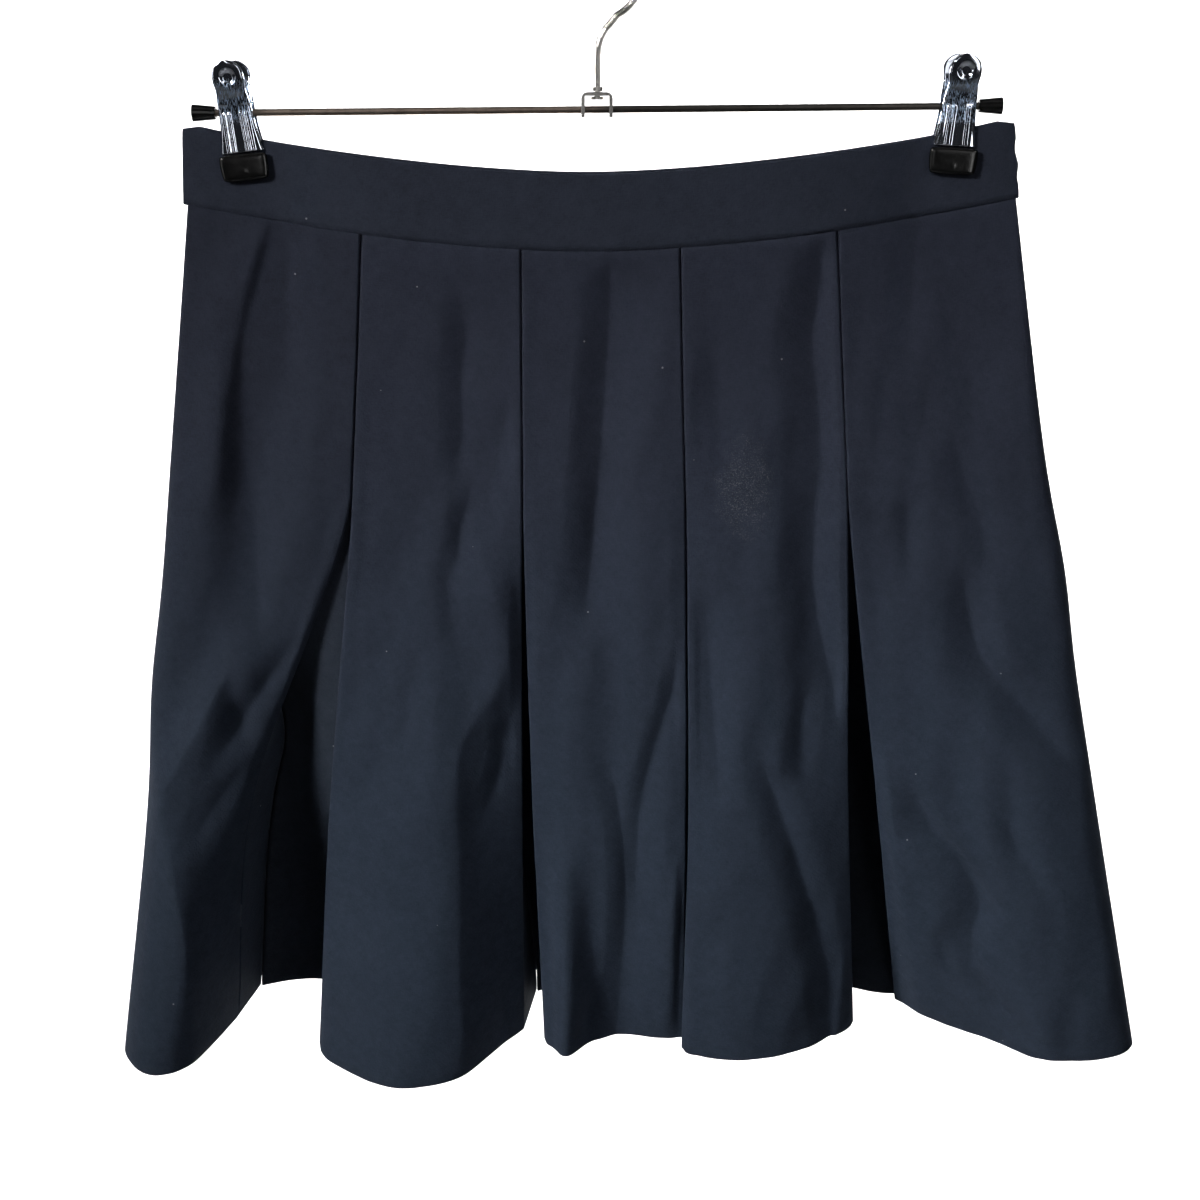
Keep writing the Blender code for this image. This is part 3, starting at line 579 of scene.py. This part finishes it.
def underlay_section(side, number, v):
    """The cloth that closes a pleat behind, from one return's end to the other's."""
    pleat = FORMS[side][0][number]
    level, cosine, sine = UNDER_AWAY
    third = RETURN_STEPS // 3
    ends, nears = [], []
    for hand, inwards in (("left", -1), ("right", 1)):
        points, swing = turned_in(side, number, hand, v)
        outward = (points[-1] - points[-1 - third]).normalized()
        across = Vector((outward.y, -outward.x)) * inwards
        swing = min(swing, math.pi / 2)
        away = level + cosine * math.cos(swing) + sine * math.sin(2 * swing)
        ends.append(points[-1] - outward * UNDER_LAP + across * away)
        nears.append((points[-1 - 2 * third] + points[-1 - third]) / 2 + across * away)
    left, right = ends
    folds = face_curve(side, number, v)[-1], face_curve(side, number + 1, v)[0]
    closed_middle = Vector((
        (folds[0][0] + folds[1][0]) / 2,
        min(folds[0][1], folds[1][1]) - 2 * FOLD - UNDER_BEHIND,
    ))
    middle = (left + right) / 2
    left_open, right_open = (opened(side, number, hand, v) for hand in ("left", "right"))
    middle = closed_middle.lerp(middle, (left_open + right_open) / 2)
    sag = pleat["bow"] * ease((v - RELEASE) / (1 - RELEASE))
    near_left = nears[0].lerp((left + middle) / 2, min(1.0, 1.5 * left_open))
    near_right = nears[1].lerp((right + middle) / 2, min(1.0, 1.5 * right_open))
    base = [
        spot + Vector((0, -sag * math.sin(math.pi * i / 4)))
        for i, spot in enumerate((left, near_left, middle, near_right, right))
    ]
    return through(base, UNDER_STEPS)


# ---- Meshes

def quads(lines, wide, start=0):
    """The faces of a grid of points, line by line."""
    corners = [start + r * wide + c for r in range(lines - 1) for c in range(wide - 1)]
    return [(a, a + 1, a + wide + 1, a + wide) for a in corners]


def shown(name, points, faces, mat):
    """A smooth mesh in the scene."""
    mesh = bpy.data.meshes.new(name)
    mesh.from_pydata(points, [], faces)
    mesh.polygons.foreach_set("use_smooth", [True] * len(mesh.polygons))
    mesh.update()
    mesh.materials.append(mat)
    obj = bpy.data.objects.new(name, mesh)
    bpy.context.scene.collection.objects.link(obj)
    return obj


def shell(name, rows, mat, thickness, middle=None):
    """A thin cloth shell about a grid of points, with a UV map in metres along the weave."""
    wide = len(rows[0])
    points = [Vector(p) * MM for row in rows for p in row]
    faces = [(a, d, c, b) for a, b, c, d in quads(len(rows), wide)]
    obj = shown(name, points, faces, mat)
    middle = wide // 2 if middle is None else middle
    across, down = [], []
    for r, row in enumerate(rows):
        walked = [0.0]
        for a, b in zip(row, row[1:]):
            walked.append(walked[-1] + (Vector(b) - Vector(a)).length * MM)
        across += [w - walked[middle] for w in walked]
        if r == 0:
            down += [0.0] * wide
        else:
            down += [
                down[(r - 1) * wide + c] - (Vector(row[c]) - Vector(rows[r - 1][c])).length * MM
                for c in range(wide)
            ]
    layer = obj.data.uv_layers.new(name="weave")
    for loop in obj.data.loops:
        layer.data[loop.index].uv = (across[loop.vertex_index], down[loop.vertex_index])
    wall = obj.modifiers.new("cloth", "SOLIDIFY")
    wall.thickness = thickness * MM
    wall.offset = 0.0
    return obj


def inward_of(row, c):
    """Towards the wrong side of the cloth, level, from its neighbours in the section."""
    a, b = row[max(c - 1, 0)], row[min(c + 1, len(row) - 1)]
    along_row = Vector((b[0] - a[0], b[1] - a[1]))
    if along_row.length < 1e-6:
        return Vector((0, 0))
    along_row.normalize()
    return Vector((along_row.y, -along_row.x))


def hung(section, side, face=None):
    """Rows of a piece hung between the band seam and the hem, with its hem turned up inside."""
    top, bottom = section(0.0), section(1.0)
    rows = []
    for r in range(ROW_COUNT):
        v = r / (ROW_COUNT - 1)
        row = []
        for (x, out), first, last in zip(section(v), top, bottom):
            high = seam_z(first[0]) - GAP / 2
            low = hem_z(last[0], last[1], side)
            row.append((x, out, high + (low - high) * v))
        rows.append(row)
    hem = rows[-1]
    inwards = [inward_of([p[:2] for p in hem], c) for c in range(len(hem))]
    for back, up in HEM_ROWS:
        near = rows[ROW_COUNT - 1 - int(up / ROW_STEP)] if up > 2 else hem
        rows.append([
            (above[0] + inward.x * back, above[1] + inward.y * back, edge[2] + up)
            for above, inward, edge in zip(near, inwards, hem)
        ])
    if face:
        first, last = face
        tuck = []
        for dip, rise in TUCK_ROWS:
            row = []
            for c, (x, out, z) in enumerate(rows[0]):
                tucked = first <= c <= last
                back, more = (dip, TUCK_RISE) if tucked else (0.0, 0.0)
                row.append((x, out - back, z + rise + more))
            tuck.append(row)
        rows = tuck + rows
    return [[(x, side * out, z) for x, out, z in row] for row in rows]


def cut_of(section, rows):
    """Flat size of the piece as it was cut: width at the hem, length, and area of the taper."""
    def length(points):
        return sum((Vector(b) - Vector(a)).length for a, b in zip(points, points[1:]))

    top, low = length(section(0.0)), length(section(1.0))
    down = length([row[len(row) // 2] for row in rows[:-len(HEM_ROWS)]]) + HEM_TURN
    wide = max(top, low)
    return (wide * MM, down * MM), max(0.31 * wide, (top + low) / 2) * down * MM * MM


def waistband(side):
    """The band: outer cloth folded over at the top and carried down inside as its facing."""
    turn = CLIP_HALF - BAND_END
    steps = [s / BAND_ROWS for s in range(1, BAND_ROWS)]
    # Share of the height, how far inside, and a little rise
    profile = [(0.0, -1.25, -0.25), (0.0, -0.45, -0.02), (0.004, -0.05, 0.0)]
    profile += [(share, 0.0, 0.0) for share in steps]
    profile += [(1.0, 0.0, -0.75), (1.0, -0.12, -0.28), (1.0, -0.42, -0.04)]
    profile += [(1.0, -0.82, -0.04), (1.0, -1.12, -0.28), (1.0, -BAND_WALL, -0.75)]
    profile += [(share, -BAND_WALL, 0.0) for share in reversed(steps)]
    profile.append((0.01, -BAND_WALL, 0.0))
    rows = []
    for share, inside, rise in profile:
        left = BAND_LEFT[0] + (BAND_LEFT[1] - BAND_LEFT[0]) * share
        right = BAND_RIGHT[0] + (BAND_RIGHT[1] - BAND_RIGHT[0]) * share
        right += side_bumps(share) if side < 0 else side_bumps(share) * 0.7
        ends = [(turn * (1 - math.cos(a)), BAND_END + turn * math.sin(a))
                for a in (0, 0.15, 0.35, 0.6, 0.9, 1.25)]
        columns = [(left + x, out) for x, out in ends]
        for i in range(BAND_STEPS + 1):
            x = left + turn + (right - left - 2 * turn) * i / BAND_STEPS
            columns.append((x, band_out(x)))
        columns += [(right - x, out) for x, out in reversed(ends)]
        row = []
        for x, out in columns:
            full = BAND_HEIGHT + BAND_LIFT * (x / BAND_HALF) ** 4
            height = GAP / 2 + (full - GAP / 2) * share
            corner = 2.6 * (1 - ease(min(x - left, right - x) / 5.0)) * share**8
            wave = 0.28 * noise.noise(Vector((x * 0.03, share * 1.4, 4.0 + side)))
            wave += 0.10 * noise.noise(Vector((x * 0.09, share * 3.0, 8.0 + side)))
            hold = ease((out - CLIP_HALF) / 3.0)
            depth = inside + BAND_FACE
            if out < 1.3:  # the round end keeps its two sides apart
                depth = min(depth, 0.9 * (out - 0.2))
            row.append((x, side * (out + depth + wave * hold), seam_z(x) + height + rise - corner))
        rows.append(row)
    return rows


def side_bumps(share):
    """The closed end of the band is uneven where the fastening lies inside it."""
    return (0.55 * math.sin(share * 19.0) * ease(share * 3) * ease((0.62 - share) * 5)
            - 1.1 * math.exp(-((share - 0.62) / 0.07) ** 2))


# ---- Materials

def feed(tree, socket, value):
    """Give a socket a constant, or link it to another node's output."""
    if isinstance(value, bpy.types.NodeSocket):
        tree.links.new(value, socket)
    else:
        socket.default_value = value


def added(tree, kind, values, **settings):
    """A new node with its settings, and values for its inputs."""
    made = tree.nodes.new("ShaderNode" + kind)
    for key, value in settings.items():
        setattr(made, key, value)
    for socket, value in values.items():
        feed(tree, made.inputs[socket], value)
    return made


def new_material(name):
    """A material, its node tree and its coordinates: in space, and along the weave."""
    mat = bpy.data.materials.new(name)
    mat.use_nodes = True
    where = added(mat.node_tree, "TexCoord", {}).outputs
    return mat, mat.node_tree, where["Object"], where["UV"]


def surfaced(mat, values):
    """Give the shader its colour, gloss and relief."""
    shader = mat.node_tree.nodes["Principled BSDF"]
    for socket, value in values.items():
        feed(mat.node_tree, shader.inputs[socket], value)
    return mat


def calc(tree, operation, *values):
    """The output of a math node."""
    return added(tree, "Math", dict(enumerate(values)), operation=operation).outputs[0]


def mapped(tree, vector, size, **more):
    return added(tree, "Mapping", {"Vector": vector, "Scale": size, **more}).outputs["Vector"]


def noise_of(tree, vector, scale, detail=2.0, rough=0.5):
    values = {"Vector": vector, "Scale": scale, "Detail": detail, "Roughness": rough}
    return added(tree, "TexNoise", values).outputs["Fac"]


def ranged(tree, value, low, high, kind="LINEAR"):
    """0 at the low end and below it, 1 at the high end and beyond it."""
    values = {"Value": value, "From Min": low, "From Max": high}
    return added(tree, "MapRange", values, interpolation_type=kind).outputs["Result"]


def relief(tree, height, strength, distance, **more):
    values = {"Height": height, "Strength": strength, "Distance": distance, **more}
    return added(tree, "Bump", values).outputs["Normal"]


def mixed(tree, factor, a, b, blend="MIX"):
    made = added(tree, "Mix", {}, data_type="RGBA", blend_type=blend)
    for name, value in (("Factor", factor), ("A", a), ("B", b)):
        socket = next(i for i in made.inputs if i.name == name and i.enabled)
        feed(tree, socket, (*value, 1.0) if isinstance(value, tuple) else value)
    return next(o for o in made.outputs if o.enabled)


def suiting(name, upper, lower_with_painted_light, dusty=False):
    """Fine matte wool suiting: crossing threads, a faint twill, soft mottling and stray lint, with
    painted light that turns it paler and bluer towards the hem.
    """
    mat, tree, place, weave = new_material(name)
    warp, weft = (noise_of(tree, mapped(tree, weave, size), 1.0, 2.0, 0.6) for size in THREADS)
    threads = calc(tree, "ADD", warp, weft)
    twill = added(
        tree, "TexWave",
        {"Vector": mapped(tree, weave, TWILL), "Scale": 1.0, "Distortion": 1.2,
         "Detail Scale": 2.0},
        wave_type="BANDS", bands_direction="DIAGONAL",
    ).outputs["Fac"]
    slub = noise_of(tree, mapped(tree, weave, SLUB), 1.0, 3.0, 0.55)
    mottle = noise_of(tree, place, *MOTTLE)
    nap = noise_of(tree, place, *NAP)

    # Painted light makes it a little bluer and paler towards the hem; its threads lighter and
    # darker by turns
    height = added(tree, "SeparateXYZ", {"Vector": place}).outputs["Z"]
    base = mixed(tree, ranged(tree, height, *PAINTED_LIGHT_HEIGHTS, "SMOOTHSTEP"), upper, lower_with_painted_light)
    tone = calc(tree, "MULTIPLY_ADD", threads, THREAD_TONE, 1 - THREAD_TONE)
    for part, share in ((mottle, MOTTLE_TONE), (twill, TWILL_TONE), (nap, NAP_TONE)):
        tone = calc(tree, "MULTIPLY_ADD", part, share, calc(tree, "ADD", tone, -share / 2))
    grey = added(tree, "CombineColor", {"Red": tone, "Green": tone, "Blue": tone})
    colour = mixed(tree, 1.0, base, grey.outputs["Color"], "MULTIPLY")

    # Stray pale fibres
    lint = added(tree, "TexVoronoi", {"Vector": place, "Scale": LINT_SCALE}).outputs
    pick = added(tree, "SeparateColor", {"Color": lint["Color"]}).outputs["Red"]
    speck = calc(tree, "MULTIPLY",
                 calc(tree, "LESS_THAN", lint["Distance"], LINT_SIZE),
                 calc(tree, "GREATER_THAN", pick, LINT_RARITY))
    colour = mixed(tree, calc(tree, "MULTIPLY", speck, LINT_COVER), colour, LINT_COLOUR)
    if dusty:
        colour = dusted(tree, place, colour)

    weaving = calc(tree, "MULTIPLY_ADD", slub, 0.8,
                   calc(tree, "MULTIPLY_ADD", twill, 0.2, threads))
    rumpled = relief(tree, nap, 1.0, NAP_RELIEF)
    return surfaced(mat, {
        "Base Color": colour,
        "Roughness": 0.86,
        "Specular IOR Level": 0.12,
        "Sheen Weight": 0.05,
        "Sheen Roughness": 0.42,
        "Sheen Tint": (0.55, 0.66, 0.86, 1.0),
        "Normal": relief(tree, weaving, 0.42, WEAVE_RELIEF, Normal=rumpled),
    })


def dusted(tree, place, colour):
    """The pale powdery mark on the fourth front panel."""
    (x, z), (wide, high) = DUST_PLACE, DUST_HALF
    moved = mapped(tree, place, (1 / wide, 0.0, 1 / high), Location=(-x / wide, 0.0, -z / high))
    far = added(tree, "VectorMath", {0: moved}, operation="LENGTH").outputs["Value"]
    uneven = calc(tree, "MULTIPLY_ADD", noise_of(tree, place, 120.0, 3.0), 1.2, -0.6)
    cover = ranged(tree, calc(tree, "ADD", far, uneven), 1.15, 0.35, "SMOOTHSTEP")
    grains = ranged(tree, noise_of(tree, place, 1500.0, 2.0, 0.7), 0.54, 0.68)
    grains = calc(tree, "MULTIPLY_ADD", grains, 0.20, 0.012)
    return mixed(tree, calc(tree, "MULTIPLY", cover, grains), colour, DUST_COLOUR)


def chrome(name, colour, rough, scratches, tarnish=None, scuff_and_painted_reflection=None):
    """Bright plated steel with fine scratches; some is stained at one end, and some is scratched
    in a zone in a pale blue tone that is painted reflection.
    """
    mat, tree, place, _ = new_material(name)
    patches = noise_of(tree, place, 130.0, 4.0, 0.6)
    lines = noise_of(tree, mapped(tree, place, (260, 900, 2300)), 1.0, 3.0, 0.6)
    duller = tuple(0.6 * c for c in colour)
    shade = mixed(tree, ranged(tree, patches, 0.35, 0.70), colour, duller)
    roughness = calc(tree, "MULTIPLY_ADD", patches, 0.12, rough - 0.06)
    split = added(tree, "SeparateXYZ", {"Vector": place}).outputs
    if tarnish:  # browned up to the middle, darker beyond it
        change = ranged(tree, split["X"], *TARNISH_ENDS, "SMOOTHSTEP")
        shade = mixed(tree, 1.0, shade, mixed(tree, change, *tarnish), "MULTIPLY")
    if scuff_and_painted_reflection:  # crossing scratches where fingers press the handles, their pale blue tone painted reflection
        marked = calc(tree, "MULTIPLY",
                      ranged(tree, split["Z"], SCUFF_LOW, SCUFF_LOW + SCUFF_RIM),
                      ranged(tree, split["Z"], SCUFF_HIGH, SCUFF_HIGH - SCUFF_RIM))
        strokes = []
        for turn, size in SCRATCHES:
            turned = mapped(tree, place, size, Rotation=(0.0, turn, 0.0))
            strokes.append(calc(tree, "GREATER_THAN", noise_of(tree, turned, 1.0), 0.62))
        strokes = calc(tree, "MAXIMUM", calc(tree, "MAXIMUM", *strokes[:2]), strokes[2])
        marked = calc(tree, "MULTIPLY", marked, strokes)
        roughness = calc(tree, "MULTIPLY_ADD", marked, 0.34, roughness)
        shade = mixed(tree, marked, shade, scuff_and_painted_reflection)
    return surfaced(mat, {
        "Base Color": shade,
        "Roughness": calc(tree, "MULTIPLY_ADD", lines, 0.06, roughness),
        "Metallic": 1.0,
        "Specular Tint": (0.08, 0.08, 0.08, 1.0),
        "Normal": relief(tree, calc(tree, "ADD", lines, patches), scratches, FINE_RELIEF),
    })


def dipped_rubber(name):
    mat, tree, place, _ = new_material(name)
    scuffs = noise_of(tree, place, 420.0, 4.0, 0.65)
    grain = noise_of(tree, place, 2400.0)
    worn = ranged(tree, scuffs, 0.55, 0.80)
    return surfaced(mat, {
        "Base Color": mixed(tree, worn, (0.003, 0.003, 0.003), (0.009, 0.009, 0.009)),
        "Roughness": calc(tree, "MULTIPLY_ADD", scuffs, 0.24, 0.08),
        "Specular IOR Level": 0.40,
        "Normal": relief(tree, calc(tree, "ADD", grain, scuffs), 0.3, FINE_RELIEF),
    })


def plain_floor(name, colour):
    mat, tree, place, _ = new_material(name)
    tone = noise_of(tree, place, 3.0, 3.0)
    return surfaced(mat, {
        "Base Color": mixed(tree, tone, tuple(0.985 * c for c in colour), colour),
        "Roughness": 0.9,
    })


# ---- Hanger clips

def bar_z(x):
    return -BAR_DROP - BAR_LOW + math.sin(-BAR_TILT) * x


def clip_axes(tip, lean):
    """Places points on a leaning clip by their distances across, above the bar and outwards."""
    angle = math.radians(lean)
    pivot = tip - math.tan(angle) * PIVOT_RISE
    ground = bar_z(pivot)

    def place(across, height, out):
        x = across * math.cos(angle) - height * math.sin(angle)
        z = across * math.sin(angle) + height * math.cos(angle)
        return (pivot + x, out, ground + z)

    return place


def plate_at(height):
    """Half width and distance from the clip plane of a plate, smooth down its length."""
    heights, halves, outs = zip(*sorted(PLATE))
    return smooth_row(heights, halves, height), smooth_row(heights, outs, height)


def clip_plate(name, tip, lean, side, mat):
    """A pressed plate: round dimple in the handle, two pairs of ribs, edges turned in."""
    place = clip_axes(tip, lean)
    rows = []
    heights = [PLATE_TOP + 0.6 - 0.5 * (i / 6) ** 2 for i in range(6)]
    heights += [PLATE_TOP - i * PLATE_STEP for i in range(PLATE_ROWS)]
    for height in heights:
        half, out = plate_at(min(height, PLATE_TOP))
        if height > PLATE_TOP - 2.0:
            above = (height - ROUND_MIDDLE) / ROUND_RADIUS
            half = ROUND_RADIUS * math.sqrt(max(1 - above**2, 0.012))
        dish = 0.5 if height > 4 else 0.9
        row = []
        for i in range(PLATE_COLUMNS + 1):
            s = -1 + 2 * i / PLATE_COLUMNS
            across = half * s
            hole = math.hypot(across, height - DIMPLE_MIDDLE)
            press = -DIMPLE_DEPTH * ease((4.6 - hole) / 2.6)
            taper = ease((1.0 - height) / 1.6) * ease((height + 19.5) / 1.2)
            for rib in RIBS:
                beside = (across - rib * (1 - 0.006 * height)) / RIB_WIDE
                press += RIB_HIGH * math.exp(-beside**2) * taper
            edge = max(abs(s) - 0.86, 0) / 0.14
            row.append(place(across, height, side * (out - dish * s * s + press - 1.6 * edge**2)))
        rows.append(row)
    obj = shell(name, rows, mat, PLATE_SHELL)
    smooth = obj.modifiers.new("smooth", "SUBSURF")
    smooth.levels = smooth.render_levels = 1
    return obj


def clip_tip(name, tip, lean, side, mat):
    """A dipped rubber tip: a pillow with soft corners and one small moulding mark."""
    place = clip_axes(tip, lean)
    half_w, half_h, half_d = TIP_HALF
    base = CLIP_HALF + TIP_PINCH + GAP + half_d
    points, faces = [], []
    for layer in (1, -1):
        for j in range(TIP_LINES + 1):
            for i in range(TIP_COLUMNS + 1):
                s, t = -1 + 2 * i / TIP_COLUMNS, -1 + 2 * j / TIP_LINES
                # Squircle mapping keeps the corners soft
                x = s * math.sqrt(1 - 0.13 * t**4)
                z = t * math.sqrt(1 - 0.22 * s**4)
                rim = max(abs(s) ** 7, abs(t) ** 6)
                depth = layer * half_d * (1 - 0.92 * rim) ** 0.5
                if layer > 0:
                    spot = math.hypot(x * half_w - 0.2, z * half_h + 2.2)
                    depth += 0.35 * math.exp(-(spot / 0.7) ** 2)
                points.append(Vector(place(
                    x * half_w * (1 + 0.03 * t), -TIP_DROP + z * half_h, side * (base + depth)
                )) * MM)
    wide = TIP_COLUMNS + 1
    step = wide * (TIP_LINES + 1)
    for layer in (0, 1):
        for quad in quads(TIP_LINES + 1, wide, layer * step):
            faces.append(quad if (layer == 0) == (side < 0) else quad[::-1])
    border = list(range(wide))
    border += [j * wide + TIP_COLUMNS for j in range(1, TIP_LINES + 1)]
    border += [TIP_LINES * wide + i for i in range(TIP_COLUMNS - 1, -1, -1)]
    border += [j * wide for j in range(TIP_LINES - 1, 0, -1)]
    for a, b in zip(border, border[1:] + border[:1]):
        quad = (a, a + step, b + step, b)
        faces.append(quad if side < 0 else quad[::-1])
    return shown(name, points, faces, mat)


# ---- Scene

def area_light(name, place, aim, size, power, spread, colour=(1.0, 1.0, 1.0)):
    """A soft box with a grid: its light stays within the spread, in degrees, of its aim."""
    data = bpy.data.lights.new(name, "AREA")
    data.shape = "RECTANGLE"
    data.size, data.size_y = size
    data.energy = power
    data.spread = math.radians(spread)
    data.color = colour
    obj = bpy.data.objects.new(name, data)
    obj.location = place
    obj.rotation_euler = (Vector(aim) - Vector(place)).to_track_quat("-Z", "Y").to_euler()
    bpy.context.scene.collection.objects.link(obj)
    return obj


def backdrop():
    """A floor that sweeps up behind the part."""
    points = []
    for i in range(SWEEP_STEPS + 1):
        t = i / SWEEP_STEPS
        if t < 0.5:
            y, z = FLOOR_FRONT + (SWEEP_START - FLOOR_FRONT) * t / 0.5, FLOOR_LOW
        elif t < 0.75:
            a = (t - 0.5) / 0.25 * math.pi / 2
            y = SWEEP_START + SWEEP_RADIUS * math.sin(a)
            z = FLOOR_LOW + SWEEP_RADIUS * (1 - math.cos(a))
        else:
            y = SWEEP_START + SWEEP_RADIUS
            z = FLOOR_LOW + SWEEP_RADIUS + SWEEP_HIGH * (t - 0.75) / 0.25
        points += [(x, y, z) for x in (-FLOOR_HALF, 0.0, FLOOR_HALF)]
    pale = plain_floor("pale_floor", (0.9, 0.9, 0.9))
    return shown("floor", points, quads(SWEEP_STEPS + 1, 3), pale)


def studio():
    scene = bpy.context.scene
    scene.view_settings.view_transform = "Standard"
    world = bpy.data.worlds.new("studio")
    world.use_nodes = True
    sky = world.node_tree.nodes["Background"].inputs
    sky["Color"].default_value = (0.86, 0.92, 1.0, 1.0)
    sky["Strength"].default_value = 0.016
    scene.world = world
    for lamp in LAMPS:
        area_light(*lamp)
    for name, place, size, power in CARDS:  # seen in the metal, without lighting the cloth
        card = area_light(name, place, (0.0, 0.0, place[2]), size, power, 180)
        card.visible_diffuse = False
    area_light(*SWEEP_LAMP)
    backdrop()

    camera = bpy.data.cameras.new("camera")
    camera.lens, camera.sensor_width = LENS, 36.0
    camera.shift_x = CAMERA_SHIFT
    camera.clip_start, camera.clip_end = 0.01, 50.0
    view = bpy.data.objects.new("camera", camera)
    view.location = CAMERA_PLACE
    view.rotation_euler = (math.radians(90.0 - CAMERA_DOWN), 0.0, 0.0)
    scene.collection.objects.link(view)
    scene.camera = view


def dress_cloth():
    cloth = suiting("suiting_cloth", UPPER, LOWER_WITH_PAINTED_LIGHT)
    marked = suiting("suiting_marked", UPPER, LOWER_WITH_PAINTED_LIGHT, True)
    # Painted shade: front panel 1 gets a darker copy of the same cloth
    darker = suiting("suiting_painted_shade", tuple(0.84 * c for c in UPPER),
                     tuple(0.89 * c for c in LOWER_WITH_PAINTED_LIGHT))
    band = suiting("band_cloth", BAND_COLOUR, BAND_COLOUR)
    # Painted shade: the underlays in the pleat hollows get a darker copy of the cloth
    under = suiting("underlay_cloth_painted_shade", *UNDER_PAINTED_SHADE_COLOURS)
    for side, face in FACES:
        for number in range(5):
            mat = {0: darker, 3: marked}.get(number, cloth) if side < 0 else cloth
            start = FOLD_STEPS + RETURN_STEPS if number > 0 else 0
            hang(panel_section, side, number, f"{face}_panel", "suiting", mat, start)
        for number in range(4):
            hang(underlay_section, side, number, f"{face}_underlay", "pleat_suiting", under)
        finish_piece(
            shell("cloth_waistband_" + face, waistband(side), band, BAND_SHELL),
            "waistband_" + face, "band_suiting", (0.422, 0.082), None,
            "clip_left_front_tip", "clip_right_front_tip",
        )


def hang(build, side, number, kind, slot, mat, start=None):
    """Make one panel, whose face starts at this point of its section, or one underlay."""
    def section(v):
        return build(side, number, v)

    name = f"{kind}_{number + 1}"
    faced = start is not None
    rows = hung(section, side, (start, start + FACE_STEPS) if faced else None)
    middle = start + FACE_STEPS // 2 if faced else None
    obj = shell("cloth_" + name, rows, mat, SHELL, middle)
    flat, area = cut_of(section, rows)
    finish_piece(obj, name, slot, flat, area, "waistband_" + dict(FACES)[side])


def dress_hanger(frame):
    steel = chrome("plated_steel", (0.74, 0.72, 0.69), 0.12, 0.08)
    wire = chrome("plated_wire", (0.90, 0.88, 0.86), 0.28, 0.05,
                  tarnish=((0.66, 0.53, 0.45), (0.16, 0.15, 0.14)))
    hook = chrome("plated_hook", (0.80, 0.77, 0.73), 0.20, 0.05)
    # Painted reflection: the pale blue tone of the scratches on the clip handles
    plate = chrome("plated_clip", (0.70, 0.74, 0.84), 0.07, 0.03, scuff_and_painted_reflection=(0.55, 0.70, 0.95))
    rubber = dipped_rubber("dipped_rubber")
    for name, tip, lean in CLIPS:
        for side, face in FACES:
            for build, made, kind, mat, slot in (
                (clip_plate, "pressed", "plate", plate, "chromed_steel"),
                (clip_tip, "dipped", "tip", rubber, "black_rubber"),
            ):
                obj = build(f"{made}_{name}_{face}", tip, lean, side, mat)
                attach(obj, "root")
                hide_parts(f"clip_{name}_{face}_{kind}")
    for name, mat in (
        ("bar", wire), ("bracket", hook), ("hook", hook),
        ("end_cap_left", rubber), ("end_cap_right", rubber),
        ("clip_left_pivot", steel), ("clip_right_pivot", steel),
    ):
        obj = frame["nodes"][name]
        obj.data.materials.clear()
        obj.data.materials.append(mat)
        obj.data.polygons.foreach_set("use_smooth", [True] * len(obj.data.polygons))


def finish_piece(obj, node_name, slot, flat, area, *rests_on):
    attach(obj, "root")
    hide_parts(node_name)


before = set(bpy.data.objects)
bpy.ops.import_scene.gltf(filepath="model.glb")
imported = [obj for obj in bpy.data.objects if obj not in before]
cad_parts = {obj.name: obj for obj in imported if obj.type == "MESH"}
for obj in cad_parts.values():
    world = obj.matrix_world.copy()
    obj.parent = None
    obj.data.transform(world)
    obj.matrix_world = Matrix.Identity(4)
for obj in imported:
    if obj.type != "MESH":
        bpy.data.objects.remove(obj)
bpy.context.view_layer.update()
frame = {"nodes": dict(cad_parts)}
studio()
dress_cloth()
dress_hanger(frame)
bpy.context.view_layer.update()
